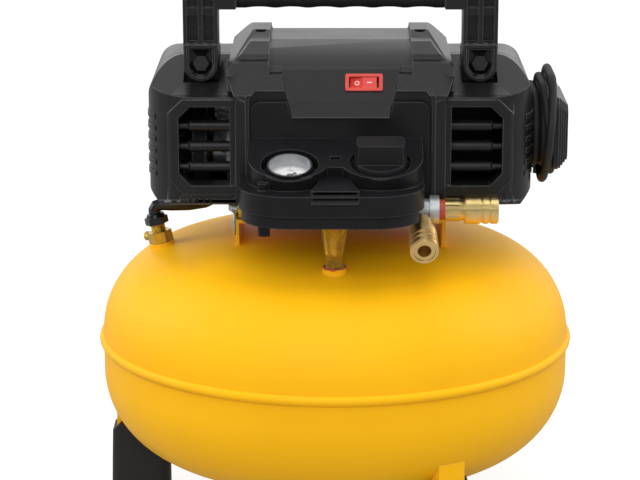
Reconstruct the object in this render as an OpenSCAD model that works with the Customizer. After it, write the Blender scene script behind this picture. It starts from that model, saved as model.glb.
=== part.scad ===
// Six-gallon pancake air compressor: a flat round tank on three feet, a pump under a two-piece
// shroud, and a console with gauge, regulator and two outlets. Z is up, the origin is on the
// floor under the tank's axis, and the controls face -Y.

/* [Tank] */
// Outer radius of the tank's rim
tank_r = 204; // [198:1:206]
// Thickness of the tank's steel
tank_wall = 2.2; // [1.8:0.1:4]
// Height of the tank's welded seam above the floor
seam_z = 158; // [150:1:166]
// Crown radius of both dished ends
crown_r = 600; // [560:5:680]
// Knuckle radius of both dished ends
knuckle_r = 75; // [65:1:85]
// Straight wall of the upper half above the seam
top_skirt = 6; // [3:0.5:12]
// Straight wall of the lower half below the seam
bottom_skirt = 28; // [20:1:34]
// Width of the weld bead round the seam
weld_w = 9; // [6:0.5:12]
// How far the weld bead stands out
weld_out = 3.5; // [2:0.5:4]

/* [Feet] */
// Tangential width of a welded leg
leg_w = 25; // [20:1:32]
// Radius of a leg's outer face
leg_r = 194; // [188:1:196]
// Radial depth of a leg
leg_d = 42; // [34:1:48]
// Sheet thickness of a leg
leg_t = 3; // [2:0.5:4]
// Height of the leg's lower end above the floor
leg_z = 14; // [10:1:20]
// Wall of the rubber boot
boot_t = 4; // [3:0.5:6]
// Height of the boot's outer side
boot_h = 78; // [60:1:82]

/* [Shroud] */
// Sideways offset of the pump and shroud from the tank's axis
shroud_x = 4.5; // [0:0.5:8]
// Half of the shroud's width
shroud_hw = 161.5; // [156:0.5:165]
// Height of the shroud's underside
shroud_z = 282; // [280:1:286]
// Height of the shroud's shoulders
shoulder_z = 407; // [402:1:410]
// Depth from the parting line to the front face
shroud_front_y = 90; // [88:0.5:91]
// Depth from the parting line to the rear face
shroud_rear_y = 100; // [94:1:106]
// Wall of the shroud's moulding
shroud_wall = 3; // [2.5:0.1:4]
// Radius of the shroud's upright corners
shroud_corner = 40; // [34:1:46]
// Height of the raised middle of the shroud
hump_z = 418; // [416:1:421]
// Thickness of a grille bar
bar_d = 6; // [4:0.5:8]
// Distance between grille bars
bar_pitch = 17.5; // [15:0.5:19]

/* [Handle] */
// Width of a handle arm
arm_w = 29; // [24:1:32]
// Front-to-back depth of a handle arm
arm_d = 32; // [26:1:36]
// Distance between the middles of the two arms
arm_span = 233; // [226:1:240]
// Height of the top of the handle
handle_top = 485; // [478:1:492]
// Thickness of the grip bar
grip_d = 32; // [26:1:34]

/* [Console] */
// Downward tilt of the console's deck
deck_tilt = 18; // [14:1:22]
// Height of the deck's rear edge
deck_z = 352.5; // [350:0.5:356]
// Wall of the console's moulding
console_wall = 3; // [2:0.5:4]
// Radius of the gauge's case
gauge_r = 18.4; // [16:0.2:20]
// Radius of the regulator knob's base
knob_r = 22.7; // [20:0.1:23.5]
// Height of the regulator knob's wing above its base
wing_h = 16; // [12:0.5:20]
// Travel of the rocker switch from side to side, in degrees
rocker_tilt = 20; // [12:1:24]

/* [Outlets] */
// Radius of a coupler's sleeve
sleeve_r = 11.8; // [10.5:0.1:12.5]
// Length of a coupler's sleeve
sleeve_l = 28; // [24:1:32]
// Radius of the plug bore in a coupler
coupler_bore_r = 5.6; // [4.5:0.1:6.5]
// Height of the outlet manifold's axis
manifold_z = 295; // [293:0.5:297]
// Radius of the outlet manifold
manifold_r = 11; // [9.5:0.5:12]

/* [Pump] */
// Height of the crankshaft's axis
crank_z = 328; // [326:0.5:330]
// Throw of the crank pin
crank_throw = 10; // [8:0.5:11]
// Bore of the cylinder
bore_d = 50; // [44:1:52]
// Diameter of the cooling fan
fan_d = 68; // [60:1:70]
// Number of fan blades
fan_blades = 9; // [5:1:11]
// Diameter of the motor's steel stack
stator_d = 84; // [76:1:88]
// Radius of the large belt pulley
big_pulley_r = 34; // [30:0.5:36]
// Radius of the motor's belt pulley
small_pulley_r = 9.5; // [8:0.5:12]

/* [Cord] */
// Diameter of the power cord
cord_d = 8; // [7:0.5:9]
// Turns of cord across the cord wrap
cord_rows = 2; // [2:1:2]
// Layers of cord on the cord wrap
cord_layers = 3; // [2:1:3]

/* [Hidden] */
$fn = 64;
yellow = "#f9b316";
black = "#222326";
rubber_black = "#17181a";
brass = "#c9a24a";
silver = "#b9bcc0";
red = "#c5202a";

// Tank geometry
crown_top = crown_r - sqrt(pow(crown_r - knuckle_r, 2) - pow(tank_r - knuckle_r, 2));
tank_top_z = seam_z + top_skirt + crown_top;
tank_bottom_z = seam_z - bottom_skirt - crown_top;
knuckle_x = tank_r - knuckle_r;
tangent_x = crown_r * knuckle_x / (crown_r - knuckle_r);
function rise(r) = r < tangent_x
    ? crown_top - crown_r + sqrt(crown_r * crown_r - r * r)
    : sqrt(knuckle_r * knuckle_r - pow(r - knuckle_x, 2));
function top_z(r) = seam_z + top_skirt + rise(r);

module dish_2d(r, k, c, skirt) {
    top = c - sqrt(pow(c - k, 2) - pow(r - k, 2));
    meet = c * (r - k) / (c - k);
    square([r, skirt]);
    intersection() {
        translate([r - k, skirt]) circle(k, $fn = 128);
        translate([r - k, skirt]) square(k);
    }
    intersection() {
        translate([0, skirt + top - c]) circle(c, $fn = 512);
        translate([0, skirt - 0.01]) square([meet, top + 1]);
    }
}
module dish(inset, skirt) {
    rotate_extrude($fn = 160)
        dish_2d(tank_r - inset, knuckle_r - inset, crown_r - inset, skirt);
}
// The space that the closed tank takes up, for fitting brackets to its curve
module tank_space() {
    translate([0, 0, seam_z]) {
        dish(0, top_skirt);
        mirror([0, 0, 1]) dish(0, bottom_skirt);
    }
}

// Places its children on the upper dish, r from the axis at the angle a, leaning outwards
module on_tank(r, a, lean) {
    rotate([0, 0, a]) translate([r, 0, top_z(r)]) rotate([0, lean, 0]) children();
}
module tube(r, bore, h) {
    difference() {
        cylinder(r = r, h = h);
        translate([0, 0, -1]) cylinder(r = bore, h = h + 2);
    }
}
module hex(across, h) cylinder(d = across / cos(30), h = h, $fn = 6);
// A plate in plan with rounded corners, centred
module pad_2d(w, d, r) {
    square([w - 2 * r, d], center = true);
    square([w, d - 2 * r], center = true);
    for (x = [-1, 1], y = [-1, 1])
        translate([x * (w / 2 - r), y * (d / 2 - r)]) circle(r);
}
module pad(w, d, r, h) linear_extrude(h) pad_2d(w, d, r);

// Welded tank: two pressed dishes, bungs for the fittings and the bead that joins them
valve_r = 152;
valve_a = 178;
valve_lean = 12;
riser_r = 116;
riser_a = 269.6;
port_r = 6.5;
bung_r = 11;
bung_h = 3;
drain_port_r = 5;
module tank_upper() color(yellow) difference() {
    union() {
        translate([0, 0, seam_z]) dish(0, top_skirt);
        valve_place() translate([0, 0, -2]) cylinder(r = bung_r, h = bung_h + 2);
        riser_place() translate([0, 0, -2]) cylinder(r = bung_r - 1, h = bung_h + 2);
    }
    translate([0, 0, seam_z - 0.01]) dish(tank_wall, top_skirt);
    valve_place() translate([0, 0, -12]) cylinder(r = port_r, h = 30);
    riser_place() translate([0, 0, -12]) cylinder(r = port_r, h = 30);
}
module valve_place() on_tank(valve_r, valve_a, valve_lean) children();
module riser_place() on_tank(riser_r, riser_a, 0) children();
module tank_lower() color(yellow) difference() {
    union() {
        translate([0, 0, seam_z]) mirror([0, 0, 1]) dish(0, bottom_skirt);
        translate([0, 0, tank_bottom_z - bung_h]) cylinder(r = bung_r, h = bung_h + 1);
    }
    translate([0, 0, seam_z + 0.01]) mirror([0, 0, 1]) dish(tank_wall, bottom_skirt);
    translate([0, 0, tank_bottom_z - 10]) cylinder(r = drain_port_r, h = 20);
}
bead_r = (weld_w * weld_w / 4 + weld_out * weld_out) / (2 * weld_out);
module tank_weld() color(yellow) translate([0, 0, seam_z]) rotate_extrude($fn = 160)
    intersection() {
        translate([tank_r, -weld_w]) square([weld_out + 1, 2 * weld_w]);
        translate([tank_r + weld_out - bead_r, 0]) circle(bead_r);
    }

// Legs: pressed channels welded under the tank's edge, with rubber boots over their ends
leg_angles = [180, -60, 60];
leg_top = seam_z - bottom_skirt;
leg_inner_w = leg_w - 2 * leg_t;
module leg_channel() difference() {
    translate([leg_r - leg_d, -leg_w / 2, leg_z]) cube([leg_d, leg_w, leg_top - leg_z]);
    translate([leg_r - leg_d - 1, -leg_inner_w / 2, leg_z - 1])
        cube([leg_d - leg_t + 1, leg_inner_w, leg_top]);
}
module legs() color(yellow) difference() {
    for (a = leg_angles) rotate([0, 0, a]) leg_channel();
    tank_space();
}
boot_drop = 36;
module rubber_feet() color(rubber_black) difference() {
    for (a = leg_angles) rotate([0, 0, a]) difference() {
        intersection() {
            translate([leg_r - leg_d / 2 + 1, 0, 0])
                pad(leg_d + 2 * boot_t + 2, leg_w + 2 * boot_t, 9, boot_h);
            translate([0, leg_w, 0]) rotate([90, 0, 0]) linear_extrude(2 * leg_w) polygon([
                [leg_r - leg_d - boot_t, 6], [leg_r - leg_d, 0], [leg_r - 3, 0],
                [leg_r + boot_t + 2, 20], [leg_r + boot_t, boot_h - 8],
                [leg_r - 4, boot_h], [leg_r - leg_d - boot_t, boot_h - boot_drop]
            ]);
        }
        leg_channel();
    }
    tank_space();
}

// Drain valve in the middle of the tank's underside
drain_gap = 0.05;
drain_stem_r = 3;
module drain_valve() color(brass) translate([0, 0, tank_bottom_z - bung_h]) mirror([0, 0, 1]) {
    difference() {
        union() {
            translate([0, 0, -bung_h - 4]) cylinder(r = drain_port_r, h = bung_h + 4);
            hex(15, 6);
            translate([0, 0, 5.9]) cylinder(r = 5.4, h = 4);
        }
        translate([0, 0, 2]) cylinder(r = drain_stem_r + drain_gap, h = 12);
    }
}
module drain_knob() color(brass) translate([0, 0, tank_bottom_z - bung_h]) mirror([0, 0, 1]) {
    translate([0, 0, 2.3]) cylinder(r = drain_stem_r, h = 10);
    translate([0, 0, 10.2]) cylinder(r = 6, h = 9);
    translate([0, 0, 14.7]) rotate([90, 0, 0]) translate([0, 0, -1.5]) linear_extrude(3)
        for (s = [-1, 1]) translate([s * 10, 0]) scale([1.5, 1]) circle(5);
}

// Check valve at the tank's shoulder, with the nut and hose that bring air from the pump
valve_hex_h = 10;
valve_neck_h = 17;
nut_h = 9;
module check_valve() color(brass) valve_place() translate([0, 0, bung_h]) {
    translate([0, 0, -bung_h - 6]) cylinder(r = port_r, h = bung_h + 6);
    hex(19, valve_hex_h);
    translate([0, 0, valve_hex_h - 0.1]) cylinder(r = 6.2, h = valve_neck_h - valve_hex_h);
    translate([0, 0, valve_hex_h / 2]) rotate([90, 0, 50]) translate([0, 0, 7])
        cylinder(r = 4.2, h = 10);
}
module discharge_nut() color(rubber_black) valve_place()
    translate([0, 0, bung_h + valve_neck_h - 0.1]) {
        hex(18, nut_h - 3);
        translate([0, 0, nut_h - 3.1]) cylinder(r1 = 8.6, r2 = 7.4, h = 3.1);
    }
// The hose runs from the nut up under the shroud to the cylinder head's outlet
hose_d = 11;
hose_path = [
    [-157.9, 5.5, 263.9], [-158.3, 5.5, 267], [-156.6, 5.4, 270.4], [-152, 5, 272],
    [-142, 4.5, 271.8], [-128, 4, 272.2], [-114, 6, 274], [-103, 11, 278],
    [-97, 18, 284], [-93, 24, 294], [-90, 28, 310], [-88, 29, 330], [-85, 29, 350],
    [-81, 29, 368], [-78, 29, 380], [-77, 26, 388], [-77, 20.5, 391.5], [-77, 15, 392],
    [-77, 11.4, 392]
];

// Lays a round skin along a list of points: each ring is square to the run between its neighbours
function unit(v) = v / norm(v);
function along(p, i) = unit(p[min(i + 1, len(p) - 1)] - p[max(i - 1, 0)]);
function side_of(t) = unit(cross(t, abs(t[1]) < 0.9 ? [0, 1, 0] : [1, 0, 0]));
function ring(p, i, r, n) = let (t = along(p, i), u = side_of(t), w = cross(t, u))
    [for (k = [0 : n - 1]) p[i] + r * (cos(360 * k / n) * u + sin(360 * k / n) * w)];
module sweep(p, d, n = 12) {
    last = len(p) - 1;
    skin = [for (i = [0 : last - 1], k = [0 : n - 1])
        [i * n + k, i * n + (k + 1) % n, (i + 1) * n + (k + 1) % n, (i + 1) * n + k]];
    polyhedron(
        [for (i = [0 : last]) each ring(p, i, d / 2, n)],
        concat(skin, [[for (k = [n - 1 : -1 : 0]) k]], [[for (k = [0 : n - 1]) last * n + k]])
    );
}
module discharge_hose() color(rubber_black) sweep(hose_path, hose_d);

// Air path under the console: riser from the tank, outlet manifold, regulator and safety valve
manifold_y = -110;
manifold_x0 = -54;
manifold_x1 = 86;
seal_w = 5;
riser_top = manifold_z - manifold_r + 2;
module along_x(x, y, z) translate([x, y, z]) rotate([0, 90, 0]) children();
module tank_riser() color(brass) difference() {
    riser_solid();
    along_x(-40, manifold_y, manifold_z) cylinder(r = manifold_r, h = 80);
}
module riser_solid() {
    base = top_z(riser_r) + bung_h;
    rotate([0, 0, riser_a]) translate([riser_r, 0, 0]) {
        translate([0, 0, base - bung_h - 6]) cylinder(r = port_r, h = bung_h + 6);
        translate([0, 0, base]) cylinder(r = 8.2, h = 2);
        translate([0, 0, base]) hex(12.6, 12);
        translate([0, 0, base + 11.9]) cylinder(r1 = 8, r2 = 12, h = riser_top - base - 11.9);
    }
}
module manifold() color(silver) difference() {
    union() {
        along_x(manifold_x0, manifold_y, manifold_z)
            cylinder(r = manifold_r, h = manifold_x1 - 30 - manifold_x0);
        along_x(manifold_x1 - 31, manifold_y, manifold_z) cylinder(r = manifold_r - 1.5, h = 24);
        along_x(manifold_x1 - 8, manifold_y, manifold_z) cylinder(r = manifold_r + 1, h = 8);
        front_place() translate([0, 0, -14]) cylinder(r = 8, h = 14 + front_reach);
    }
    along_x(manifold_x1 - 60, manifold_y, manifold_z) cylinder(r = 4.5, h = 80);
    front_place() translate([0, 0, -12]) cylinder(r = 4.5, h = 20);
}
module manifold_seal() color(red) along_x(manifold_x1, manifold_y, manifold_z)
    tube(8.4, 4.5, seal_w);

// Quick couplers: a hex body with a ball cage, and a sleeve that is pulled back to free the plug
front_pitch = 18;
front_yaw = 2;
front_reach = 4;
module front_place() translate([71, manifold_y - 6, manifold_z - 8])
    rotate([0, 0, front_yaw]) rotate([90 + front_pitch, 0, 0]) children();
module right_place() along_x(manifold_x1 + seal_w, manifold_y, manifold_z) children();
coupler_hex_l = 12;
sleeve_gap = 0.08;
body_r = 9;
sleeve_lip = 2;
sleeve_travel = 4;
module coupler_body() difference() {
    union() {
        hex(17, coupler_hex_l);
        cylinder(r = body_r, h = coupler_hex_l + sleeve_travel + sleeve_l - 1);
    }
    translate([0, 0, -1]) cylinder(r = 3.5, h = 80);
    translate([0, 0, coupler_hex_l + 2]) cylinder(r = coupler_bore_r, h = 80);
    for (a = [45 : 120 : 285]) rotate([0, 0, a])
        translate([coupler_bore_r + 1.2, 0, coupler_hex_l + sleeve_travel + sleeve_l - 8])
            sphere(1.7, $fn = 24);
}
module coupler_sleeve() translate([0, 0, coupler_hex_l + sleeve_travel]) difference() {
    rotate_extrude() difference() {
        translate([body_r + sleeve_gap, 0]) square([sleeve_r - body_r - sleeve_gap, sleeve_l]);
        for (z = [sleeve_l - 15, sleeve_l - 8.5]) translate([sleeve_r - 0.9, z]) square([2, 2.4]);
        translate([sleeve_r - 0.8, -1]) square([2, 2]);
        translate([sleeve_r - 0.8, sleeve_l - 1]) square([2, 2]);
    }
}
module coupler_right() color(brass) right_place() coupler_body();
module sleeve_right() color(brass) right_place() coupler_sleeve();
module coupler_front() color(brass) front_place() translate([0, 0, front_reach]) coupler_body();
module sleeve_front() color(brass) front_place() translate([0, 0, front_reach]) coupler_sleeve();

// Safety valve on the manifold's left end, with its pull ring
safety_l = 26;
safety_x = manifold_x0;
safety_pin_r = 1.6;
safety_pin_gap = 0.05;
ring_r = 10.5;
module safety_valve() color(brass) translate([safety_x, manifold_y, manifold_z])
    rotate([0, -90, 0]) difference() {
        union() {
            cylinder(r = 6.5, h = 6);
            translate([0, 0, 5.9]) hex(15, 8);
            translate([0, 0, 13.8]) cylinder(r = 6.4, h = safety_l - 13.8);
        }
        translate([0, 0, 8]) cylinder(r = safety_pin_r + safety_pin_gap, h = 30);
    }
module safety_ring() color(silver) translate([safety_x, manifold_y, manifold_z]) {
    rotate([0, -90, 0]) {
        translate([0, 0, 10]) cylinder(r = safety_pin_r, h = safety_l - 4);
        translate([0, 0, safety_l + 1]) cylinder(r = 2.6, h = 4.8);
    }
    translate([-safety_l - 3.4, 0, -ring_r]) rotate([0, 90, 0])
        rotate_extrude() translate([ring_r, 0]) circle(0.9, $fn = 24);
}

// Pressure switch: a covered box on the manifold, under the deck
switch_w = 28;
switch_x = 3.5;
switch_d = 28;
switch_h = 26;
switch_nipple_h = 3;
module pressure_switch() color(black) translate([switch_x, manifold_y, manifold_z]) {
    difference() {
        cylinder(r = 6, h = manifold_r + switch_nipple_h + 0.1);
        along_x(-20, 0, 0) cylinder(r = manifold_r, h = 40);
    }
    translate([0, 0, manifold_r + switch_nipple_h]) pad(switch_w, switch_d, 3, switch_h - 6);
    translate([0, 0, manifold_r + switch_nipple_h + switch_h - 6.1])
        pad(switch_w - 3, switch_d - 3, 3, 6.1);
}

// Deck frame: x across, y uphill along the deck from its rear edge, z square to the deck
deck_y = -95;
module on_deck(x, v, lift = 0) translate([0, deck_y, deck_z]) rotate([deck_tilt, 0, 0])
    translate([x, v, lift]) children();
gauge_x = -37;
gauge_v = -43;
knob_x = 37;
knob_v = -39;
deck_t = console_wall;
dial_drop = 9;

// Regulator: a body that hangs from the knob down to the manifold
regulator_l = 36;
well_deep = 5;
knob_lift = -3.5;
knob_base_h = 6.5;
stem_r = 6;
stem_gap = 0.05;
module regulator_body() color(black) difference() {
    on_deck(knob_x, knob_v) {
        translate([0, 0, -regulator_l]) cylinder(r = 18, h = regulator_l - well_deep - 3.3);
        translate([0, 0, -well_deep - 3.4]) cylinder(r = 12, h = 4.4);
    }
    on_deck(knob_x, knob_v, -24) cylinder(r = stem_r + stem_gap, h = 40);
    along_x(manifold_x0, manifold_y, manifold_z) cylinder(r = manifold_r, h = 140);
}
module regulator_knob() color(black) on_deck(knob_x, knob_v) {
    translate([0, 0, -23.7]) cylinder(r = stem_r, h = 23.7 + knob_lift + 1);
    translate([0, 0, knob_lift]) cylinder(r1 = knob_r, r2 = knob_r - 1.5, h = knob_base_h);
    translate([0, 0, knob_lift + knob_base_h - 0.1]) intersection() {
        cylinder(r1 = knob_r - 1, r2 = knob_r - 3, h = wing_h);
        translate([-30, 0, 0]) rotate([90, 0, 90]) linear_extrude(60)
            polygon([[-11, 0], [11, 0], [8.5, wing_h], [-8.5, wing_h]]);
    }
}

// Pressure gauge: a case set down in the deck, dial, needle and lens
gauge_rim = 1.2;
needle_pin_r = 1.2;
needle_gap = 0.03;
gauge_back = 10;
gauge_stem_l = 46;
module gauge_case() color(silver) difference() {
    on_deck(gauge_x, gauge_v) {
        translate([0, 0, -dial_drop - gauge_back])
            cylinder(r = gauge_r, h = dial_drop + gauge_back - 0.5);
        translate([0, 0, -gauge_stem_l]) cylinder(r = 5, h = 36);
    }
    on_deck(gauge_x, gauge_v, -dial_drop - 4) cylinder(r = gauge_r - gauge_rim, h = 40);
    on_deck(gauge_x, gauge_v, -dial_drop - 8) cylinder(r = needle_pin_r + needle_gap, h = 10);
    along_x(manifold_x0 - 1, manifold_y, manifold_z) cylinder(r = manifold_r, h = 80);
}
module gauge_dial() color("white") on_deck(gauge_x, gauge_v, -dial_drop - 4)
    tube(gauge_r - gauge_rim, needle_pin_r + 0.5, 1);
module gauge_needle() color("black") on_deck(gauge_x, gauge_v, -dial_drop - 2.2) {
    translate([0, 0, -5]) cylinder(r = needle_pin_r, h = 5.1);
    cylinder(r = 2.6, h = 0.9);
    rotate([0, 0, 225]) linear_extrude(0.6) polygon([
        [-6.5, -1.7], [-5, -0.6], [0, -0.9], [14, -0.25], [14, 0.25], [0, 0.9], [-5, 0.6],
        [-6.5, 1.7]
    ]);
}
module gauge_lens() color("lightcyan", 0.3) on_deck(gauge_x, gauge_v, -dial_drop)
    cylinder(r = gauge_r - gauge_rim, h = 1.2);

// Console: an upright panel and a two-lobed deck above a skirted tray
lobe_r = 35;
lobe_v = -31;
panel_x0 = -69;
panel_x1 = 77.5;
panel_top = 379;
panel_front = 95.5;
ledge_z = 321;
tray_x0 = -79;
tray_x1 = 73;
tray_front = 176;
tray_corner = 42;
skirt_z = 304;
console_z = 294;
well_r = 23.5;
waist = 12;
tray_mid = (tray_x0 + tray_x1) / 2;
module deck_2d(inset) {
    for (x = [gauge_x, knob_x]) translate([x, lobe_v]) circle(lobe_r - inset);
    translate([gauge_x - lobe_r + inset, lobe_v])
        square([knob_x - gauge_x + 2 * (lobe_r - inset), -lobe_v + 4]);
    translate([-waist, lobe_v - 17 + inset]) square([2 * waist, 20]);
}
module tray_2d(inset) {
    w = tray_x1 - tray_x0 - 2 * inset;
    for (s = [-1, 1]) translate([tray_mid + s * (w / 2 - tray_corner + inset), 0])
        translate([0, -tray_front + tray_corner]) circle(tray_corner - inset);
    translate([tray_mid - w / 2, -tray_front + tray_corner])
        square([w, tray_front - tray_corner - 89.5]);
    translate([tray_mid - w / 2 + tray_corner - inset, -tray_front + inset])
        square([w - 2 * (tray_corner - inset), tray_corner]);
}
module console_solid(inset) {
    intersection() {
        on_deck(0, 0, -60) linear_extrude(60 - inset) deck_2d(inset);
        translate([-100, -200, ledge_z - 8 - inset]) cube([200, 110.5, 60]);
    }
    translate([0, 0, skirt_z - inset]) linear_extrude(ledge_z - skirt_z) tray_2d(inset);
    translate([0, 0, console_z - 1 - inset]) linear_extrude(ledge_z - console_z - 2)
        tray_2d(inset + 2.2);
}
module console() color(black) difference() {
    union() {
        difference() {
            console_solid(0);
            console_solid(console_wall);
            translate([-100, -200, console_z - 20]) cube([200, 200, 20]);
        }
        translate([0, -89.5, 0]) rotate([90, 0, 0]) linear_extrude(panel_front - 89.5)
            difference() {
                translate([(panel_x0 + panel_x1) / 2, (panel_top + console_z) / 2])
                    pad_2d(panel_x1 - panel_x0, panel_top - console_z, 9);
                tongue_2d(0.6);
            }
        on_deck(gauge_x, gauge_v, -12) tube(well_r + 2.4, well_r, 11);
        on_deck(knob_x, knob_v, -well_deep - 3) tube(knob_well_r + 2.4, knob_well_r, 7);
        on_deck(knob_x, knob_v, -well_deep - 3) tube(knob_well_r + 1, 12.2, 3);
        on_deck(gauge_x, gauge_v, -15) tube(well_r + 2.4, gauge_r + 0.2, 3.1);
        translate([-58, -150, console_z - 11]) cylinder(r = 5, h = 44);
    }
    on_deck(gauge_x, gauge_v, -12) cylinder(r = well_r, h = 40);
    on_deck(knob_x, knob_v, -well_deep) cylinder(r = knob_well_r, h = 40);
    on_deck(knob_x, knob_v, -20) cylinder(r = 12.2, h = 40);
    on_deck(0, -33, -20) linear_extrude(40) square([8, 5], center = true);
    translate([-18, -190, ledge_z - 4]) cube([37, 24, 3]);
    // The tray stands clear of the shroud's frame
    translate([-120, -surround_y - 0.4, console_z - 20]) cube([120 + panel_x0 - 1.5, 30, 120]);
    // Notches for the outlet end of the manifold and for the safety valve
    translate([54, -148, console_z - 20]) cube([40, 58, 29]);
    along_x(54, manifold_y, manifold_z) cylinder(r = manifold_r + 3, h = 40);
    translate([-90, manifold_y - 10, console_z - 20]) cube([20, 20, 32]);
}
knob_well_r = 25;

// Shroud: outlines seen from the front, the side and above meet in one rounded shell
shoulder_r = 28;
belly_r = 14;
bottom_cut = 20;
front_slope = 22;
rear_roll = 60;
module shroud_front_2d(inset) {
    hw = shroud_hw - inset;
    r = shoulder_r - inset;
    mid = shroud_hw - shoulder_r;
    z0 = shroud_z + inset;
    z1 = shoulder_z - inset;
    for (s = [-1, 1]) translate([s * mid, shoulder_z - shoulder_r]) circle(r);
    polygon([
        [-hw, shoulder_z - shoulder_r], [-hw, z0 + bottom_cut], [-hw + bottom_cut, z0],
        [hw - bottom_cut, z0], [hw, z0 + bottom_cut], [hw, shoulder_z - shoulder_r],
        [mid, shoulder_z - shoulder_r], [mid, z1], [-mid, z1], [-mid, shoulder_z - shoulder_r]
    ]);
}
module shroud_side_2d(inset) {
    y0 = -shroud_front_y + inset;
    y1 = shroud_rear_y - inset;
    z1 = shoulder_z - inset;
    br = belly_r - inset;
    rr = rear_roll - inset;
    polygon([[y0 + br, shroud_z + inset], [y0, shroud_z + inset + br], [y0, z1 - front_slope],
        [-8, z1], [y1 - rr, z1], [y1, z1 - rr], [y1, shroud_z + inset + br],
        [y1 - br, shroud_z + inset]]);
    for (y = [y0 + br, y1 - br]) translate([y, shroud_z + inset + br]) circle(br);
    translate([y1 - rr, z1 - rr]) circle(rr);
}
module shroud_plan_2d(inset) {
    d = shroud_front_y + shroud_rear_y - 2 * inset;
    translate([0, (shroud_rear_y - shroud_front_y) / 2])
        pad_2d(2 * (shroud_hw - inset), d, shroud_corner - inset);
}
// The raised middle runs from the front over to the rear
hump_hw = 81;
rail_in = 60;
rail_out = 76;
rail_h = 5;
module hump_2d(inset) polygon([
    [-hump_hw - 13, shoulder_z - 30], [-hump_hw - 13 + inset, shoulder_z - inset],
    [-rail_out + inset / 2, hump_z + rail_h - inset], [-rail_in, hump_z + rail_h - inset],
    [-rail_in + 1, hump_z - inset], [rail_in - 1, hump_z - inset],
    [rail_in, hump_z + rail_h - inset], [rail_out - inset / 2, hump_z + rail_h - inset],
    [hump_hw + 13 - inset, shoulder_z - inset], [hump_hw + 13, shoulder_z - 30]
]);
hump_front = 64;
hump_roll = 64;
module hump_side_2d(inset) {
    top = hump_z + rail_h - inset;
    rr = hump_roll - inset;
    y1 = shroud_rear_y - inset;
    polygon([[-hump_front - 20 + inset, shoulder_z - 30], [-hump_front + inset, top - 6],
        [-36, top], [y1 - rr, top], [y1, top - rr], [y1, shoulder_z - 40]]);
    translate([y1 - rr, top - rr]) circle(rr);
}
module shroud_solid(inset) translate([shroud_x, 0, 0]) {
    intersection() {
        translate([0, shroud_rear_y, 0]) rotate([90, 0, 0])
            linear_extrude(shroud_front_y + shroud_rear_y) shroud_front_2d(inset);
        translate([-shroud_hw, 0, 0]) rotate([90, 0, 90])
            linear_extrude(2 * shroud_hw) shroud_side_2d(inset);
        translate([0, 0, shroud_z]) linear_extrude(200) shroud_plan_2d(inset);
    }
    intersection() {
        translate([0, shroud_rear_y, 0]) rotate([90, 0, 0])
            linear_extrude(shroud_front_y + shroud_rear_y) hump_2d(inset);
        translate([-shroud_hw, 0, 0]) rotate([90, 0, 90])
            linear_extrude(2 * shroud_hw) hump_side_2d(inset);
    }
}
// The tongue that carries the switch, in front of the console's panel
tongue_top = 412;
tongue_mid = 382;
tongue_low = 370;
tongue_y0 = 67;
tongue_y1 = 86;
tongue_y2 = 100;
module tongue_2d(grow) translate([shroud_x, 0]) polygon([
    [-51 - grow, tongue_top], [-40 - grow, tongue_low - grow], [40 + grow, tongue_low - grow],
    [51 + grow, tongue_top]
]);
module tongue_side_2d(inset) polygon([
    [-50, tongue_top + 5 - inset], [-tongue_y0 + inset, tongue_top - inset],
    [-tongue_y1 + inset, tongue_mid], [-tongue_y2 + inset, tongue_low],
    [-tongue_y2 + inset + 2, tongue_low - 3], [-50, tongue_low - 3]
]);
module tongue() intersection() {
    translate([0, -40, 0]) rotate([90, 0, 0]) linear_extrude(80) tongue_2d(0);
    translate([-100, 0, 0]) rotate([90, 0, 90]) linear_extrude(200) tongue_side_2d(0);
}
// The frame that stands out round the console
surround_hw = 87;
surround_x = shroud_x;
surround_y = 97;
surround_z = 388;
module surround_2d(grow) translate([surround_x, 0]) polygon([
    [-surround_hw - grow, 284 - grow], [-surround_hw - grow, 385], [-surround_hw - 6 - grow, 399],
    [-surround_hw + 10, 411 + grow], [surround_hw - 10, 411 + grow],
    [surround_hw + 6 + grow, 399], [surround_hw + grow, 385], [surround_hw + grow, 284 - grow]
]);
module surround() intersection() {
    translate([0, -70, 0]) rotate([90, 0, 0]) linear_extrude(40) surround_2d(0);
    translate([-120, 0, 0]) rotate([90, 0, 90]) linear_extrude(240) polygon([
        [-70, 284], [-surround_y, 290], [-surround_y, surround_z], [-75, 410], [-70, 411]
    ]);
}
// Switch panel frame: x across, y up the panel, z out of it
panel_lean = atan((tongue_y1 - tongue_y0) / (tongue_top - tongue_mid));
rocker_x = 24;
rocker_up = 15.5;
rocker_l = 31;
rocker_w = 15;
module on_panel(x, up, lift = 0) translate([0, -tongue_y1, tongue_mid])
    rotate([90 - panel_lean, 0, 0]) translate([x, up, lift]) children();
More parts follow.
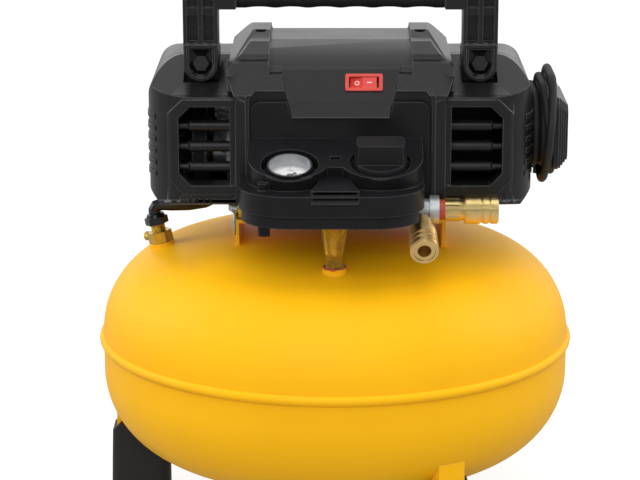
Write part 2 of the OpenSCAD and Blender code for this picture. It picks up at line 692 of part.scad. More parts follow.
// Grille openings on both sides, front and rear
grille_z0 = 305;
grille_z1 = 384;
grille_in = 92;
grille_out = 143;
grille_cut = 12;
module grille_2d(grow) polygon([
    [grille_in - grow, grille_z0 - grow], [grille_out - grille_cut + grow / 2, grille_z0 - grow],
    [grille_out + grow, grille_z0 + grille_cut], [grille_out + grow, grille_z1 - grille_cut],
    [grille_out - grille_cut + grow / 2, grille_z1 + grow], [grille_in - grow, grille_z1 + grow]
]);
bar_z = 328;
bar_back = 78;
post_w = 7;
module both_sides() for (s = [0, 1]) translate([shroud_x, 0, 0]) mirror([s, 0, 0]) children();
side_slots = 6;
slot_pitch = 9.6;
slot_z = 320;
arm_z = 390;
arm_front = 62;
arm_gap = 0.5;
seam_gap = 0.7;
module shroud_shell() difference() {
    union() {
        shroud_solid(0);
        surround();
        tongue();
        both_sides() bolt_lug();
    }
    difference() {
        shroud_solid(shroud_wall);
        both_sides() handle_socket();
        screw_bosses();
        both_sides() grille_duct();
        difference() {
            tongue();
            translate([0, 5, 0]) tongue();
        }
    }
    screw_holes();
    // Recess over the switch panel
    on_panel(shroud_x, 0) linear_extrude(40) polygon([
        [-panel_low_hw, 0], [panel_low_hw, 0], [panel_top_hw, 40], [-panel_top_hw, 40]
    ]);
    // The parting groove
    difference() {
        translate([-300, -seam_gap, 200]) cube([600, 2 * seam_gap, 300]);
        shroud_solid(1);
    }
    // Recesses that seat the handle's feet, with holes for the bolts
    both_sides() handle_seat(arm_gap);
    // Openings in the underside for the pump and for the discharge hose
    translate([shroud_x, 0, shroud_z - 1]) pad(floor_w, floor_d, 8, shroud_wall + 2);
    translate([hose_hole_x, hose_hole_y, shroud_z - 1]) pad(24, 30, 8, shroud_wall + 2);
    // Cooling slots in the side walls
    both_sides() for (k = [0 : side_slots - 1])
        translate([shroud_hw - 8, -50, slot_z + k * slot_pitch - 2.2]) cube([12, 40, 4.4]);
}
panel_low_hw = 43.2;
panel_top_hw = 52;
// A socket in the shoulder holds each arm's foot, and a lug behind it takes the bolt
socket_t = 2;
lug_d = 15;
lug_top = 418;
module bolt_lug() translate([arm_span / 2 - arm_w / 2, -arm_front + arm_d + arm_gap, arm_z])
    cube([arm_w, lug_d, lug_top - arm_z]);
module handle_socket() translate([
    arm_span / 2 - arm_w / 2 - socket_t, -arm_front - socket_t - arm_gap, arm_z - socket_t - arm_gap
]) cube([arm_w + 2 * socket_t, arm_d + lug_d + socket_t + 2 * arm_gap, 60]);
floor_w = 166;
floor_d = 118;
hose_hole_x = -98;
hose_hole_y = 16;
module handle_seat(gap) translate([arm_span / 2, 0, 0]) {
    translate([-arm_w / 2 - gap, -arm_front - gap, arm_z - gap])
        cube([arm_w + 2 * gap, arm_d + 2 * gap, 60]);
    translate([0, -arm_front, arm_pocket_z]) rotate([-90, 0, 0])
        cylinder(r = arm_bolt_r, h = arm_d + lug_d - 4);
}
duct_w = 3;
duct_back = 70;
module grille_duct() {
    translate([0, -duct_back, 0]) rotate([90, 0, 0])
        linear_extrude(shroud_front_y - duct_back) difference() {
            grille_2d(duct_w);
            grille_2d(0);
        }
    translate([grille_out - 16, -bar_back, grille_z0 - 2])
        cube([post_w, bar_back - duct_back, grille_z1 - grille_z0 + 4]);
    for (k = [0 : 2]) translate([grille_in - 2, -bar_back, bar_z + k * bar_pitch])
        rotate([0, 90, 0]) cylinder(d = bar_d, h = grille_out - 11 - grille_in);
}
module grille_hole() translate([0, -60, 0]) rotate([90, 0, 0]) linear_extrude(60) grille_2d(0);
module shroud_front() color(black) difference() {
    intersection() {
        shroud_shell();
        translate([-300, -300, 200]) cube([600, 300, 300]);
    }
    both_sides() difference() {
        grille_hole();
        grille_duct();
    }
    // Pocket that takes the console's panel
    translate([surround_x - 75.5, -surround_y - 5, 280]) cube([151, surround_y + 5 - 89.3, 88.5]);
    translate([surround_x - 75.5, -surround_y - 5, 360]) difference() {
        cube([151, surround_y + 5 - 89.3, 21.5]);
        translate([-surround_x + 75.5, surround_y + 5, -360]) tongue();
    }
    on_panel(rocker_x, rocker_up, -30) linear_extrude(40) pad_2d(rocker_l - 4, rocker_w - 2, 1);
}
module shroud_rear() color(black) difference() {
    intersection() {
        shroud_shell();
        translate([-300, 0, 200]) cube([600, 300, 300]);
    }
    both_sides() difference() {
        translate([0, 120, 0]) rotate([90, 0, 0]) linear_extrude(60) grille_2d(0);
        for (k = [0 : 3]) translate([grille_in - 5, 60, grille_z0 + 8 + k * 19.5])
            cube([60, 60, 6]);
    }
    translate([relief_x, shroud_rear_y - 20, relief_z]) rotate([-90, 0, 0]) cylinder(r = 7, h = 40);
}
// Four screws hold the shroud down on the pump's frame, and two join its halves at the top
boss_r = 4.5;
screw_r = 1.8;
screw_head_r = 3.6;
floor_screw_x = 89;
floor_screw_y = 36;
floor_boss_h = 12;
roof_screw_x = 22;
roof_screw_z = 404;
module each_floor_screw() for (x = [-1, 1], y = [-1, 1])
    translate([shroud_x + x * floor_screw_x, y * floor_screw_y, 0]) children();
module each_roof_screw() for (x = [-1, 1])
    translate([shroud_x + x * roof_screw_x, 0, roof_screw_z]) rotate([-90, 0, 0]) children();
module screw_bosses() {
    each_floor_screw() translate([0, 0, shroud_z + 1]) cylinder(r = boss_r, h = floor_boss_h);
    each_roof_screw() translate([0, 0, -22]) {
        cylinder(r = boss_r, h = 22 + roof_boss_y);
        translate([-2.5, -14, 0]) cube([5, 14, 22 + roof_boss_y]);
    }
}
roof_boss_y = shroud_rear_y - 24;
module screw_holes() {
    each_floor_screw() translate([0, 0, shroud_z - 1]) cylinder(r = screw_r, h = floor_boss_h);
    each_roof_screw() translate([0, 0, -16]) cylinder(r = screw_r, h = 200);
    each_roof_screw() translate([0, 0, roof_boss_y - 6]) cylinder(r = screw_head_r + 0.4, h = 60);
}
module shroud_screws() color(silver) {
    each_floor_screw() {
        translate([0, 0, frame_z - 2.5]) cylinder(r = screw_head_r, h = 2.5);
        translate([0, 0, frame_z - 0.1]) cylinder(r = screw_r, h = frame_t + floor_boss_h - 2);
    }
    each_roof_screw() {
        translate([0, 0, -16]) cylinder(r = screw_r, h = roof_boss_y + 10.1);
        translate([0, 0, roof_boss_y - 6]) cylinder(r = screw_head_r, h = 3);
    }
}

// Rocker switch in the tongue
rocker_pivot = 4;
rocker_pin_r = 1.5;
rocker_gap = 0.1;
module rocker_frame() color(red) on_panel(rocker_x, rocker_up) difference() {
    union() {
        linear_extrude(2) pad_2d(rocker_l, rocker_w, 1.5);
        translate([0, 0, -14]) linear_extrude(14.1) pad_2d(rocker_l - 4, rocker_w - 2, 1);
    }
    translate([0, 0, -9]) linear_extrude(20) pad_2d(rocker_l - 6, rocker_w - 5, 0.8);
    translate([0, 10, -rocker_pivot]) rotate([90, 0, 0])
        cylinder(r = rocker_pin_r + rocker_gap, h = 20);
}
module rocker() color(red) on_panel(rocker_x, rocker_up, -rocker_pivot) rotate([0, -rocker_tilt / 2, 0])
    translate([0, 0, 0]) {
        rotate([90, 0, 0]) translate([0, 0, -(rocker_w - 5.6) / 2])
            linear_extrude(rocker_w - 5.6) polygon([
                [-11.2, 3.5], [0, 5.2], [11.2, 3.5], [8, -1.5], [0, -3.2], [-8, -1.5]
            ]);
        translate([0, 6, 0]) rotate([90, 0, 0]) cylinder(r = rocker_pin_r, h = 12);
    }

// Carrying handle: two ribbed arms bolted to the shoulders and a bar between them
arm_pocket_z = 408;
arm_bolt_r = 4;
grip_z = handle_top - grip_d / 2;
corner_r = 30;
grip_l = arm_span - 2 * corner_r;
handle_y = -arm_front + arm_d / 2;
module handle() color(black) {
    both_sides() difference() {
        union() {
            translate([arm_span / 2, handle_y, arm_z]) pad(arm_w, arm_d, 4, grip_z - corner_r - arm_z);
            translate([arm_span / 2 - corner_r, handle_y, grip_z - corner_r]) rotate([90, 0, 0])
                translate([0, 0, -arm_d / 2 + 2]) intersection() {
                    cylinder(r = corner_r + arm_w / 2, h = arm_d - 4);
                    difference() {
                        cube([100, 100, 100]);
                        cylinder(r = corner_r - arm_w / 2, h = 100);
                    }
                }
        }
        for (s = [-1, 1]) translate([arm_span / 2 + s * 6.6 - 4.6, -arm_front - 1, arm_z + 38])
            cube([9.2, 4, grip_z - corner_r - arm_z - 30]);
        translate([arm_span / 2, -arm_front - 1, arm_pocket_z]) rotate([-90, 0, 0])
            cylinder(r = 9.5, h = 9);
        translate([arm_span / 2 - 9.5, -arm_front - 1, arm_pocket_z]) cube([19, 9, 13]);
        translate([arm_span / 2, -arm_front, arm_pocket_z]) rotate([-90, 0, 0])
            cylinder(r = arm_bolt_r, h = 60);
    }
    along_x(shroud_x - arm_span / 2 + corner_r, handle_y, grip_z)
        cylinder(r = 11, h = arm_span - 2 * corner_r);
}
module handle_grip() color(rubber_black) along_x(shroud_x - grip_l / 2, handle_y, grip_z)
    difference() {
        cylinder(d = grip_d, h = grip_l);
        translate([0, 0, -1]) cylinder(r = 11, h = grip_l + 2);
        for (k = [-2.5 : 1 : 2.5]) translate([grip_d / 2 + 40, 0, grip_l / 2 + k * 27])
            rotate([90, 0, 0]) cylinder(r = 42, h = 60, center = true);
    }
module handle_bolts() color(silver) both_sides()
    translate([arm_span / 2, -arm_front + 3, arm_pocket_z]) rotate([-90, 0, 0]) {
        hex(12, 5);
        translate([0, 0, 4.9]) cylinder(r = arm_bolt_r, h = arm_d + lug_d - 13);
    }

// Platform welded over the tank's crown, rubber mounts and the pump's cast frame
plat_w = 180;
plat_d = 104;
plat_t = 3;
iso_h = 5;
frame_t = 5;
plat_z = shroud_z - frame_t - iso_h;
mount_x = 72;
mount_y = 42;
module each_mount() for (x = [-1, 1], y = [-1, 1])
    translate([shroud_x + x * mount_x, y * mount_y, 0]) children();
module pump_platform() color(yellow) difference() {
    union() {
        translate([shroud_x, 0, plat_z - plat_t]) pad(plat_w, plat_d, 6, plat_t);
        for (s = [-1, 1]) translate([shroud_x + s * (plat_w / 2 - plat_t / 2), 0, plat_z - 40])
            linear_extrude(39) square([plat_t, plat_d - 12], center = true);
        for (s = [-1, 1]) translate([shroud_x + s * (plat_w / 2 - plat_t / 2), 0, 0])
            rotate([90, 0, 0]) linear_extrude(plat_d - 12, center = true) polygon([
                [-s * plat_t / 2, plat_z - 14], [s * 8, plat_z - 40], [-s * plat_t, plat_z - 40]
            ]);
    }
    tank_space();
    each_mount() translate([0, 0, plat_z - 20]) cylinder(r = 4.5, h = 40);
    translate([shroud_x, 0, plat_z - 20]) pad(100, 60, 10, 40);
}
module pump_isolators() color(rubber_black) each_mount() translate([0, 0, plat_z])
    tube(9, 4, iso_h);

// Crank axis and motor axis, both across the machine
crank_y = -22;
motor_y = 48;
motor_z = 333;
upright_x = -50;
upright_t = 8;
bearing_r = 11;
shaft_r = 6;
motor_shaft_r = 4;
motor_bearing_r = 8;
seat_gap = 0.05;
stator_x = -34;
stator_l = 56;
air_gap = 0.6;
rotor_r = 24;
cap_t = 5;
cap_l = 22;
frame_z = shroud_z - frame_t;
module pump_frame() color(silver) difference() {
    union() {
        translate([shroud_x, 0, frame_z]) pad(floor_w - 3, 112, 8, frame_t);
        for (y = [-1, 1]) translate([shroud_x, y * floor_screw_y, frame_z])
            pad(2 * floor_screw_x + 14, 14, 6, frame_t);
        each_mount() translate([0, 0, frame_z]) cylinder(r = 9, h = frame_t + 4);
        along_x(upright_x, crank_y, crank_z) cylinder(r = 34, h = upright_t);
        along_x(upright_x, motor_y, motor_z) cylinder(r = stator_d / 2, h = upright_t);
        translate([upright_x, crank_y - 24, frame_z]) cube([upright_t, 76, crank_z - frame_z + 16]);
        along_x(upright_x + upright_t - 0.1, motor_y, motor_z)
            cylinder(r = stator_d / 2, h = stator_x - upright_x - upright_t + 0.1);
        translate([upright_x, crank_y - 30, frame_z]) cube([26, 10, 22]);
    }
    along_x(upright_x + upright_t, motor_y, motor_z) cylinder(r = stator_d / 2 - 5, h = 60);
    along_x(upright_x - 1, motor_y, motor_z) cylinder(r = motor_bearing_r, h = 30);
    each_mount() translate([0, 0, frame_z - 1]) cylinder(r = 4, h = 30);
    each_floor_screw() translate([0, 0, frame_z - 1]) cylinder(r = screw_r, h = 30);
    translate([cyl_x, crank_y, cyl_z - 5]) cylinder(r = fin_r + 1, h = 40);
    translate([30, -30, frame_z - 1]) cube([30, 60, 20]);
}
module motor_stator() color("dimgray") along_x(stator_x, motor_y, motor_z) {
    difference() {
        cylinder(d = stator_d, h = stator_l);
        translate([0, 0, -1]) cylinder(r = rotor_r + air_gap, h = stator_l + 2);
    }
    for (z = [-6, stator_l - 0.1]) translate([0, 0, z]) tube(36, 28, 6.1);
}
module motor_rotor() color("silver") along_x(0, motor_y, motor_z) {
    translate([0, 0, belt_x - 1]) cylinder(r = motor_shaft_r, h = stator_x + stator_l + cap_l - belt_x);
    translate([0, 0, stator_x]) cylinder(r = rotor_r, h = stator_l);
    translate([0, 0, stator_x + stator_l + 7]) cylinder(r = 11, h = 8);
    translate([0, 0, belt_x]) pulley(small_pulley_r);
}
module motor_end_cap() color(silver) along_x(stator_x + stator_l, motor_y, motor_z) difference() {
    cylinder(d = stator_d, h = cap_l);
    translate([0, 0, -1]) cylinder(d = stator_d - 8, h = cap_l - cap_t + 1);
    cylinder(r = motor_bearing_r, h = 60);
    for (a = [0 : 60 : 300]) rotate([0, 0, a]) translate([26, 0, 0]) cylinder(r = 6, h = 60);
}
bearing_w = 6;
case_x = -104;
case_l = upright_x - case_x;
case_r = 31;
case_in = 27;
module crankcase() color(silver) difference() {
    union() {
        along_x(case_x + 12, crank_y, crank_z) cylinder(r = case_r, h = case_l - 12);
        along_x(case_x, crank_y, crank_z) cylinder(r = bearing_r + 4, h = 20);
        translate([cyl_x, crank_y, crank_z]) cylinder(r = 30, h = cyl_z - crank_z);
        translate([case_x + 28, crank_y - 10, frame_z + frame_t]) cube([case_l - 28, 24, 20]);
    }
    translate([cyl_x, crank_y, cyl_z]) cylinder(r = case_r + 6, h = 30);
    translate([upright_x, crank_y - 50, frame_z]) cube([30, 100, 120]);
    along_x(case_x + 18, crank_y, crank_z) cylinder(r = case_in, h = case_l - 17);
    along_x(case_x - 1, crank_y, crank_z) cylinder(r = bearing_r, h = 30);
    translate([cyl_x, crank_y, crank_z]) cylinder(d = bore_d + 1, h = 60);
}
module bearing(r_out, r_in, w) {
    tube(r_out, r_out - 1.8, w);
    tube(r_in + 1.8, r_in, w);
    translate([0, 0, w / 2 - 1]) tube(r_out - 1.7, r_in + 1.7, 2);
}
module crank_bearings() color("silver") {
    for (x = [case_x + 1, case_x + 11])
        along_x(x, crank_y, crank_z) bearing(bearing_r, shaft_r + seat_gap, bearing_w);
    for (x = [upright_x + 1, stator_x + stator_l + cap_l - cap_t])
        along_x(x, motor_y, motor_z)
            bearing(motor_bearing_r, motor_shaft_r + seat_gap, 5);
}
// Belt drive on the left of the crankcase
belt_x = -121;
pulley_w = 12;
belt_w = 9;
belt_t = 2.2;
belt_gap = 0.3;
module pulley(r) difference() {
    cylinder(r = r, h = pulley_w);
    for (k = [0 : 2]) translate([0, 0, 3 + 2.4 * k])
        rotate_extrude() translate([r - 1, 0]) square([2, 1.2]);
}
disc_x = -84;
module crankshaft() color(silver) {
    along_x(0, crank_y, crank_z) {
        translate([0, 0, fan_x - 4]) cylinder(r = shaft_r, h = disc_x - fan_x + 5);
        translate([0, 0, disc_x]) cylinder(r = 11, h = 5);
        translate([0, 0, belt_x]) pulley(big_pulley_r);
    }
    along_x(disc_x, crank_y, crank_z + crank_throw) cylinder(r = 8, h = 5);
    along_x(disc_x + 4.9, crank_y, crank_z + crank_throw) cylinder(r = 5, h = 1.6);
    along_x(disc_x, crank_y, crank_z) intersection() {
        cylinder(r = 24, h = 5);
        translate([8, -20, 0]) cube([30, 40, 5]);
    }
}
fan_room = 15;
fan_x = shroud_x - shroud_hw + fan_room;
fan_l = 18;
module cooling_fan() color(black) along_x(fan_x, crank_y, crank_z) {
    tube(13, shaft_r, fan_l);
    for (k = [0 : fan_blades - 1]) rotate([0, 0, k * 360 / fan_blades])
        translate([12, 0, fan_l / 2]) rotate([35, 0, 0])
            translate([0, -1, -fan_l / 2 + 2]) cube([fan_d / 2 - 14, 2, fan_l - 4]);
}
belt_dy = motor_y - crank_y;
belt_dz = motor_z - crank_z;
belt_span = norm([belt_dy, belt_dz]);
module belt_2d(grow) hull() {
    circle(big_pulley_r + belt_gap + grow, $fn = 72);
    translate([belt_span, 0]) circle(small_pulley_r + belt_gap + grow, $fn = 48);
}
module drive_belt() color(rubber_black)
    translate([belt_x + (pulley_w - belt_w) / 2, crank_y, crank_z])
        rotate([90, 0, 90]) rotate([0, 0, atan2(belt_dz, belt_dy)]) linear_extrude(belt_w)
            difference() {
                belt_2d(belt_t);
                belt_2d(0);
            }

// Cylinder, head, wobble piston and intake filter
cyl_x = disc_x + 13;
cyl_z = 354;
cyl_h = 27;
rod_l = 40;
fin_r = 32;
head_h = 14;
module cylinder_at(z) translate([cyl_x, crank_y, z]) children();
module cylinder_body() color(silver) cylinder_at(cyl_z) difference() {
    union() {
        cylinder(d = bore_d + 5, h = cyl_h);
        for (k = [0 : 4]) translate([0, 0, 2 + k * 5.2]) cylinder(r = fin_r, h = 2);
        cylinder(r = 30, h = 2);
    }
    translate([0, 0, -1]) cylinder(d = bore_d, h = cyl_h + 2);
}
module cylinder_head() color(silver) cylinder_at(cyl_z + cyl_h) {
    difference() {
        union() {
            cylinder(r = fin_r, h = 6);
            cylinder(r = 22, h = head_h - 6);
            for (k = [-2 : 2]) translate([-22, k * 7 - 1, 5]) cube([44, 2, head_h - 5]);
            translate([-6, 18, 11]) rotate([-90, 0, 0]) cylinder(r = 6.4, h = 15.3);
            along_x(10, 0, inlet_up) cylinder(r = 5.5, h = inlet_out - 10);
        }
        for (a = [45 : 90 : 315]) rotate([0, 0, a]) translate([28, 0, -1])
            cylinder(r = 2.5, h = 40);
    }
}
inlet_up = 12;
inlet_out = 24;
module head_bolts() color(silver) cylinder_at(cyl_z + cyl_h)
    for (a = [45 : 90 : 315]) rotate([0, 0, a]) translate([28, 0, 0]) {
        translate([0, 0, 0]) cylinder(r = 2.5, h = 6);
        translate([0, 0, 6]) hex(8, 4);
    }
piston_gap = 0.05;
piston_top = crank_z + crank_throw + rod_l;
eye_x = cyl_x - 5;
module piston() color(silver) {
    translate([cyl_x, crank_y, piston_top - 7]) cylinder(d = bore_d - 2 * piston_gap, h = 7);
    difference() {
        union() {
            along_x(eye_x, crank_y, crank_z + crank_throw) cylinder(r = 13, h = 10);
            translate([eye_x, crank_y - 7, crank_z + crank_throw]) cube([10, 14, rod_l - 6]);
        }
        along_x(eye_x - 1, crank_y, crank_z + crank_throw) cylinder(r = 5.1, h = 20);
    }
}
module intake_filter() color(black)
    along_x(cyl_x + inlet_out, crank_y, cyl_z + cyl_h + inlet_up) {
        tube(5.5, 3.5, 10);
        translate([0, 0, 9.9]) cylinder(r = 10, h = 13);
    }

// Cord wrap on the right-hand side, and the power cord round it
wrap_x = shroud_x + shroud_hw;
wrap_z = 346;
hub_h = 48;
hub_l = 92;
wrap_w = 19;
flange_h = 62;
flange_l = 112;
flange_t = 12;
flange_bevel = 8;
module stadium_2d(l, h) {
    square([l - h, h], center = true);
    for (s = [-1, 1]) translate([s * (l - h) / 2, 0]) circle(h / 2);
}
module cord_wrap() color(black) translate([wrap_x, 0, wrap_z]) rotate([90, 0, 90]) difference() {
    union() {
        linear_extrude(wrap_w + 0.1) stadium_2d(hub_l, hub_h);
        translate([0, 0, wrap_w]) linear_extrude(flange_t - flange_bevel)
            pad_2d(flange_l, flange_h, 10);
        for (k = [0 : 3]) translate([0, 0, wrap_w + flange_t - flange_bevel + 2 * k - 0.01])
            linear_extrude(2.01) pad_2d(flange_l - 4 * k - 2, flange_h - 4 * k - 2, 9);
    }
    translate([0, 0, -1]) linear_extrude(wrap_w + 4) stadium_2d(hub_l - 8, hub_h - 8);
}
hank_x = wrap_x + 1.2;
hank_w = 17;
hank_t = cord_layers * cord_d;
hank_gap = 0.3;
module cord_hank() color(rubber_black) translate([hank_x, 0, wrap_z]) rotate([90, 0, 90])
    linear_extrude(hank_w) difference() {
        stadium_2d(hub_l + 2 * hank_t, hub_h + 2 * hank_t);
        stadium_2d(hub_l + 2 * hank_gap, hub_h + 2 * hank_gap);
    }
relief_x = 78;
relief_z = 306;
relief_l = 14;
module strain_relief() color(rubber_black) translate([relief_x, shroud_rear_y - 4, relief_z])
    rotate([-90, 0, 0]) difference() {
        union() {
            cylinder(r = 7, h = 6);
            translate([0, 0, -1]) cylinder(r = 8.4, h = 2);
            translate([0, 0, 4]) cylinder(r = 9, h = 3);
            translate([0, 0, 6.9]) cylinder(r1 = 7, r2 = 5.2, h = relief_l - 3);
        }
        translate([0, 0, -2]) cylinder(d = cord_d, h = relief_l + 8);
    }
lead_path = [
    [78, 90, 306], [78, 113, 306], [80, 122, 306.5], [88, 129, 308], [102, 133, 311],
    [122, 134, 316], [142, 131, 323], [157, 124, 331],
    [167, 111, 339], [173, 96, 344], [175, 84, 346], [175, 70.1, 346]
];
tail_path = [
    [181, 70.1, 352], [181, 80, 353], [182, 90, 351], [183, 97, 344], [183, 100, 334],
    [183, 100, 318]
];
module cord_lead() color(rubber_black) sweep(lead_path, cord_d, 10);
module cord_tail() color(rubber_black) sweep(tail_path, cord_d, 10);
module cord_plug() color(rubber_black) translate([183, 100, 318]) mirror([0, 0, 1]) {
    cylinder(r1 = 5.5, r2 = 7, h = 12);
    translate([0, 0, 11.9]) pad(26, 22, 5, 20);
    for (s = [-1, 1]) translate([s * 6.35 - 0.75, -5, 31.8]) cube([1.5, 6.4, 9]);
    translate([0, 6.5, 31.8]) cylinder(r = 2.4, h = 9);
}

// Every sub-part, drawn alone or with the rest
tank_upper();
tank_lower();
tank_weld();
legs();
rubber_feet();
drain_valve();
drain_knob();
check_valve();
discharge_nut();
discharge_hose();
tank_riser();
manifold();
manifold_seal();
regulator_body();
regulator_knob();
pressure_switch();
safety_valve();
safety_ring();
coupler_right();
sleeve_right();
coupler_front();
sleeve_front();
gauge_case();
gauge_dial();
gauge_needle();
gauge_lens();
console();
rocker_frame();
rocker();
shroud_front();
shroud_rear();
shroud_screws();
handle();
handle_grip();
handle_bolts();
pump_platform();
pump_isolators();
pump_frame();
motor_stator();
motor_rotor();
motor_end_cap();
crankcase();
crank_bearings();
crankshaft();
cooling_fan();
drive_belt();
cylinder_body();  // cylinder
cylinder_head();
head_bolts();
piston();
intake_filter();
cord_wrap();
strain_relief();
cord_lead();
cord_hank();
cord_tail();
cord_plug();
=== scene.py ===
import bmesh
import bpy
import math
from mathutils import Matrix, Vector


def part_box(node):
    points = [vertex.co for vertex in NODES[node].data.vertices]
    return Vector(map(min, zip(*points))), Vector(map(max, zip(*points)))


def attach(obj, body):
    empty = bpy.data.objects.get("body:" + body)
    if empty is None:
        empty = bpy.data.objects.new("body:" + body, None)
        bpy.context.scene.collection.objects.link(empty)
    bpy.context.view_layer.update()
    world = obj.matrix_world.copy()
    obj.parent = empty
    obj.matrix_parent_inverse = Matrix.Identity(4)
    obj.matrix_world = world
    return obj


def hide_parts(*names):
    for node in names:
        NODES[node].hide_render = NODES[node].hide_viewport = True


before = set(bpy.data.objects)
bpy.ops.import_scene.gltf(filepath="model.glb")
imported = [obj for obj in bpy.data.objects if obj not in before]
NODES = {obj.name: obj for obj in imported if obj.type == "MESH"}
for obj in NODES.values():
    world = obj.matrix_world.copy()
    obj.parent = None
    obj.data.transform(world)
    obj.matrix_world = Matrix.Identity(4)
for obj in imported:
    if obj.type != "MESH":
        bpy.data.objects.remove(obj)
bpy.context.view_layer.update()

# Camera: a long lens in front of the machine and above it, level from side to side.
# Its film plane is shifted so that the machine sits right of and below the lens's axis.
lens = bpy.data.cameras.new("camera")
lens.lens = 139.6
lens.sensor_width = 36
lens.shift_x = -0.0236
lens.shift_y = 0.1417
lens.clip_end = 60
camera = bpy.data.objects.new("camera", lens)
camera.location = (0, -2.1105, 0.7792)
camera.rotation_euler = (math.radians(73.6), 0, 0)
bpy.context.scene.collection.objects.link(camera)
bpy.context.scene.camera = camera

# Power cord: 7 mm rubber mains lead, about 1.7 m long. It leaves the tapered relief in the rear
# cover, loops round behind the machine and is wound five times on the wrap at the right-hand
# side, three strands wide. Its end hangs behind the winding and carries the moulded plug.
CORD_D = 0.007
PITCH = 0.0072  # one strand to the next, along the wrap and outwards
ROW_A = 0.170  # x of the row next to the cover
HUB = (0.0205, 0.346)  # half the wrap's straight length, and the height of its middle
RING = 0.0293  # radius of the innermost layer
EXIT_X, EXIT_Z = 0.078, 0.306
LEAD_POINTS = 40
LEAD_SAG = 0.024
TAIL_DROP = 0.026  # straight length of the tail below the winding
TAIL_BEND = 0.030
exit_point = Vector((EXIT_X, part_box("strain_relief")[1].y, EXIT_Z))
turn_r = (ROW_A - exit_point.x) / 2
half_circle = math.pi * turn_r
lead_length = half_circle + exit_point.y - HUB[0]
climb = HUB[1] - RING - exit_point.z
path = []
for k in range(LEAD_POINTS):
    s = lead_length * k / LEAD_POINTS
    u = s / lead_length
    z = exit_point.z + climb * u * u * (3 - 2 * u) - LEAD_SAG * math.sin(math.pi * u) ** 2
    a = s / turn_r
    if a < math.pi:
        path.append((exit_point.x + turn_r * (1 - math.cos(a)),
                     exit_point.y + turn_r * math.sin(a), z))
    else:
        path.append((ROW_A, exit_point.y - (s - half_circle), z))
# Each turn: row and layer at its start and end, and the stretch in which it changes over
TURNS = [((0, 0), (1, 0), "rear"), ((1, 0), (2, 0), "rear"), ((2, 0), (2, 1), "top"),
         ((2, 1), (1, 1), "front"), ((1, 1), (1, 2), "bottom")]
STEPS = {"bottom": 10, "front": 24, "top": 10, "rear": 24}
LAST_STEPS = 7  # the last turn leaves the wrap part of the way round its rear end
order = list(STEPS)
for number, (start, stop, change) in enumerate(TURNS):
    last = number == len(TURNS) - 1
    for zone in order:
        for k in range(LAST_STEPS if last and zone == "rear" else STEPS[zone]):
            t = k / STEPS[zone]
            ease = (1 - math.cos(math.pi * t)) / 2
            mix = ease if zone == change else float(order.index(zone) > order.index(change))
            row = start[0] + (stop[0] - start[0]) * mix
            layer = start[1] + (stop[1] - start[1]) * mix
            if last and zone == "front":
                row = 1 + ease
            if last and zone in ("top", "rear"):
                row = 2
            r = RING + PITCH * layer
            x = ROW_A + PITCH * row
            a = math.pi * t
            if zone == "bottom":
                path.append((x, HUB[0] - 2 * HUB[0] * t, HUB[1] - r))
            elif zone == "top":
                path.append((x, -HUB[0] + 2 * HUB[0] * t, HUB[1] + r))
            elif zone == "front":
                path.append((x, -HUB[0] - r * math.sin(a), HUB[1] - r * math.cos(a)))
            else:
                path.append((x, HUB[0] + r * math.sin(a), HUB[1] + r * math.cos(a)))
HALF = math.sin(math.pi / 4)
leave_r = RING + 2 * PITCH
corner = Vector((ROW_A + 2 * PITCH, HUB[0] + leave_r * HALF, HUB[1] + leave_r * HALF))
slope = Vector((0, HALF, -HALF))
for k in range(6):
    path.append(tuple(corner + slope * TAIL_DROP * k / 5))
bend_from = corner + slope * TAIL_DROP
for k in range(1, 9):
    a = math.pi / 4 * (1 + k / 8)
    path.append((corner.x, bend_from.y + TAIL_BEND * (math.sin(a) - HALF),
                 bend_from.z - TAIL_BEND * (HALF - math.cos(a))))
plug_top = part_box("cord_plug")[1].z
for k in range(1, 4):
    path.append((path[-1][0], path[-1][1], path[-1][2] + (plug_top - path[-1][2]) * k / 3))
line = bpy.data.curves.new("power_cord", "CURVE")
line.dimensions = "3D"
line.bevel_depth = CORD_D / 2
line.bevel_resolution = 4
line.use_fill_caps = True
spline = line.splines.new("POLY")
spline.points.add(len(path) - 1)
for point, place in zip(spline.points, path):
    point.co = (*place, 1)
guide = bpy.data.objects.new("guide", line)
tube = bpy.data.meshes.new_from_object(guide)
power_cord = bpy.data.objects.new("power_cord", tube)
bpy.context.scene.collection.objects.link(power_cord)
bpy.data.objects.remove(guide)
for face in tube.polygons:
    face.use_smooth = True
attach(power_cord, "machine")
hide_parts("cord_lead", "cord_hank", "cord_tail")

# Tank: two deep-drawn steel dishes with a hoop weld, legs and bungs welded on and the whole
# powder coated amber yellow. The coat has a soft gloss and a faint orange-peel surface.


def hue(code):
    parts = [int(code[k:k + 2], 16) / 255 for k in (0, 2, 4)]
    return tuple(c / 12.92 if c < 0.04045 else ((c + 0.055) / 1.055) ** 2.4 for c in parts) + (1,)


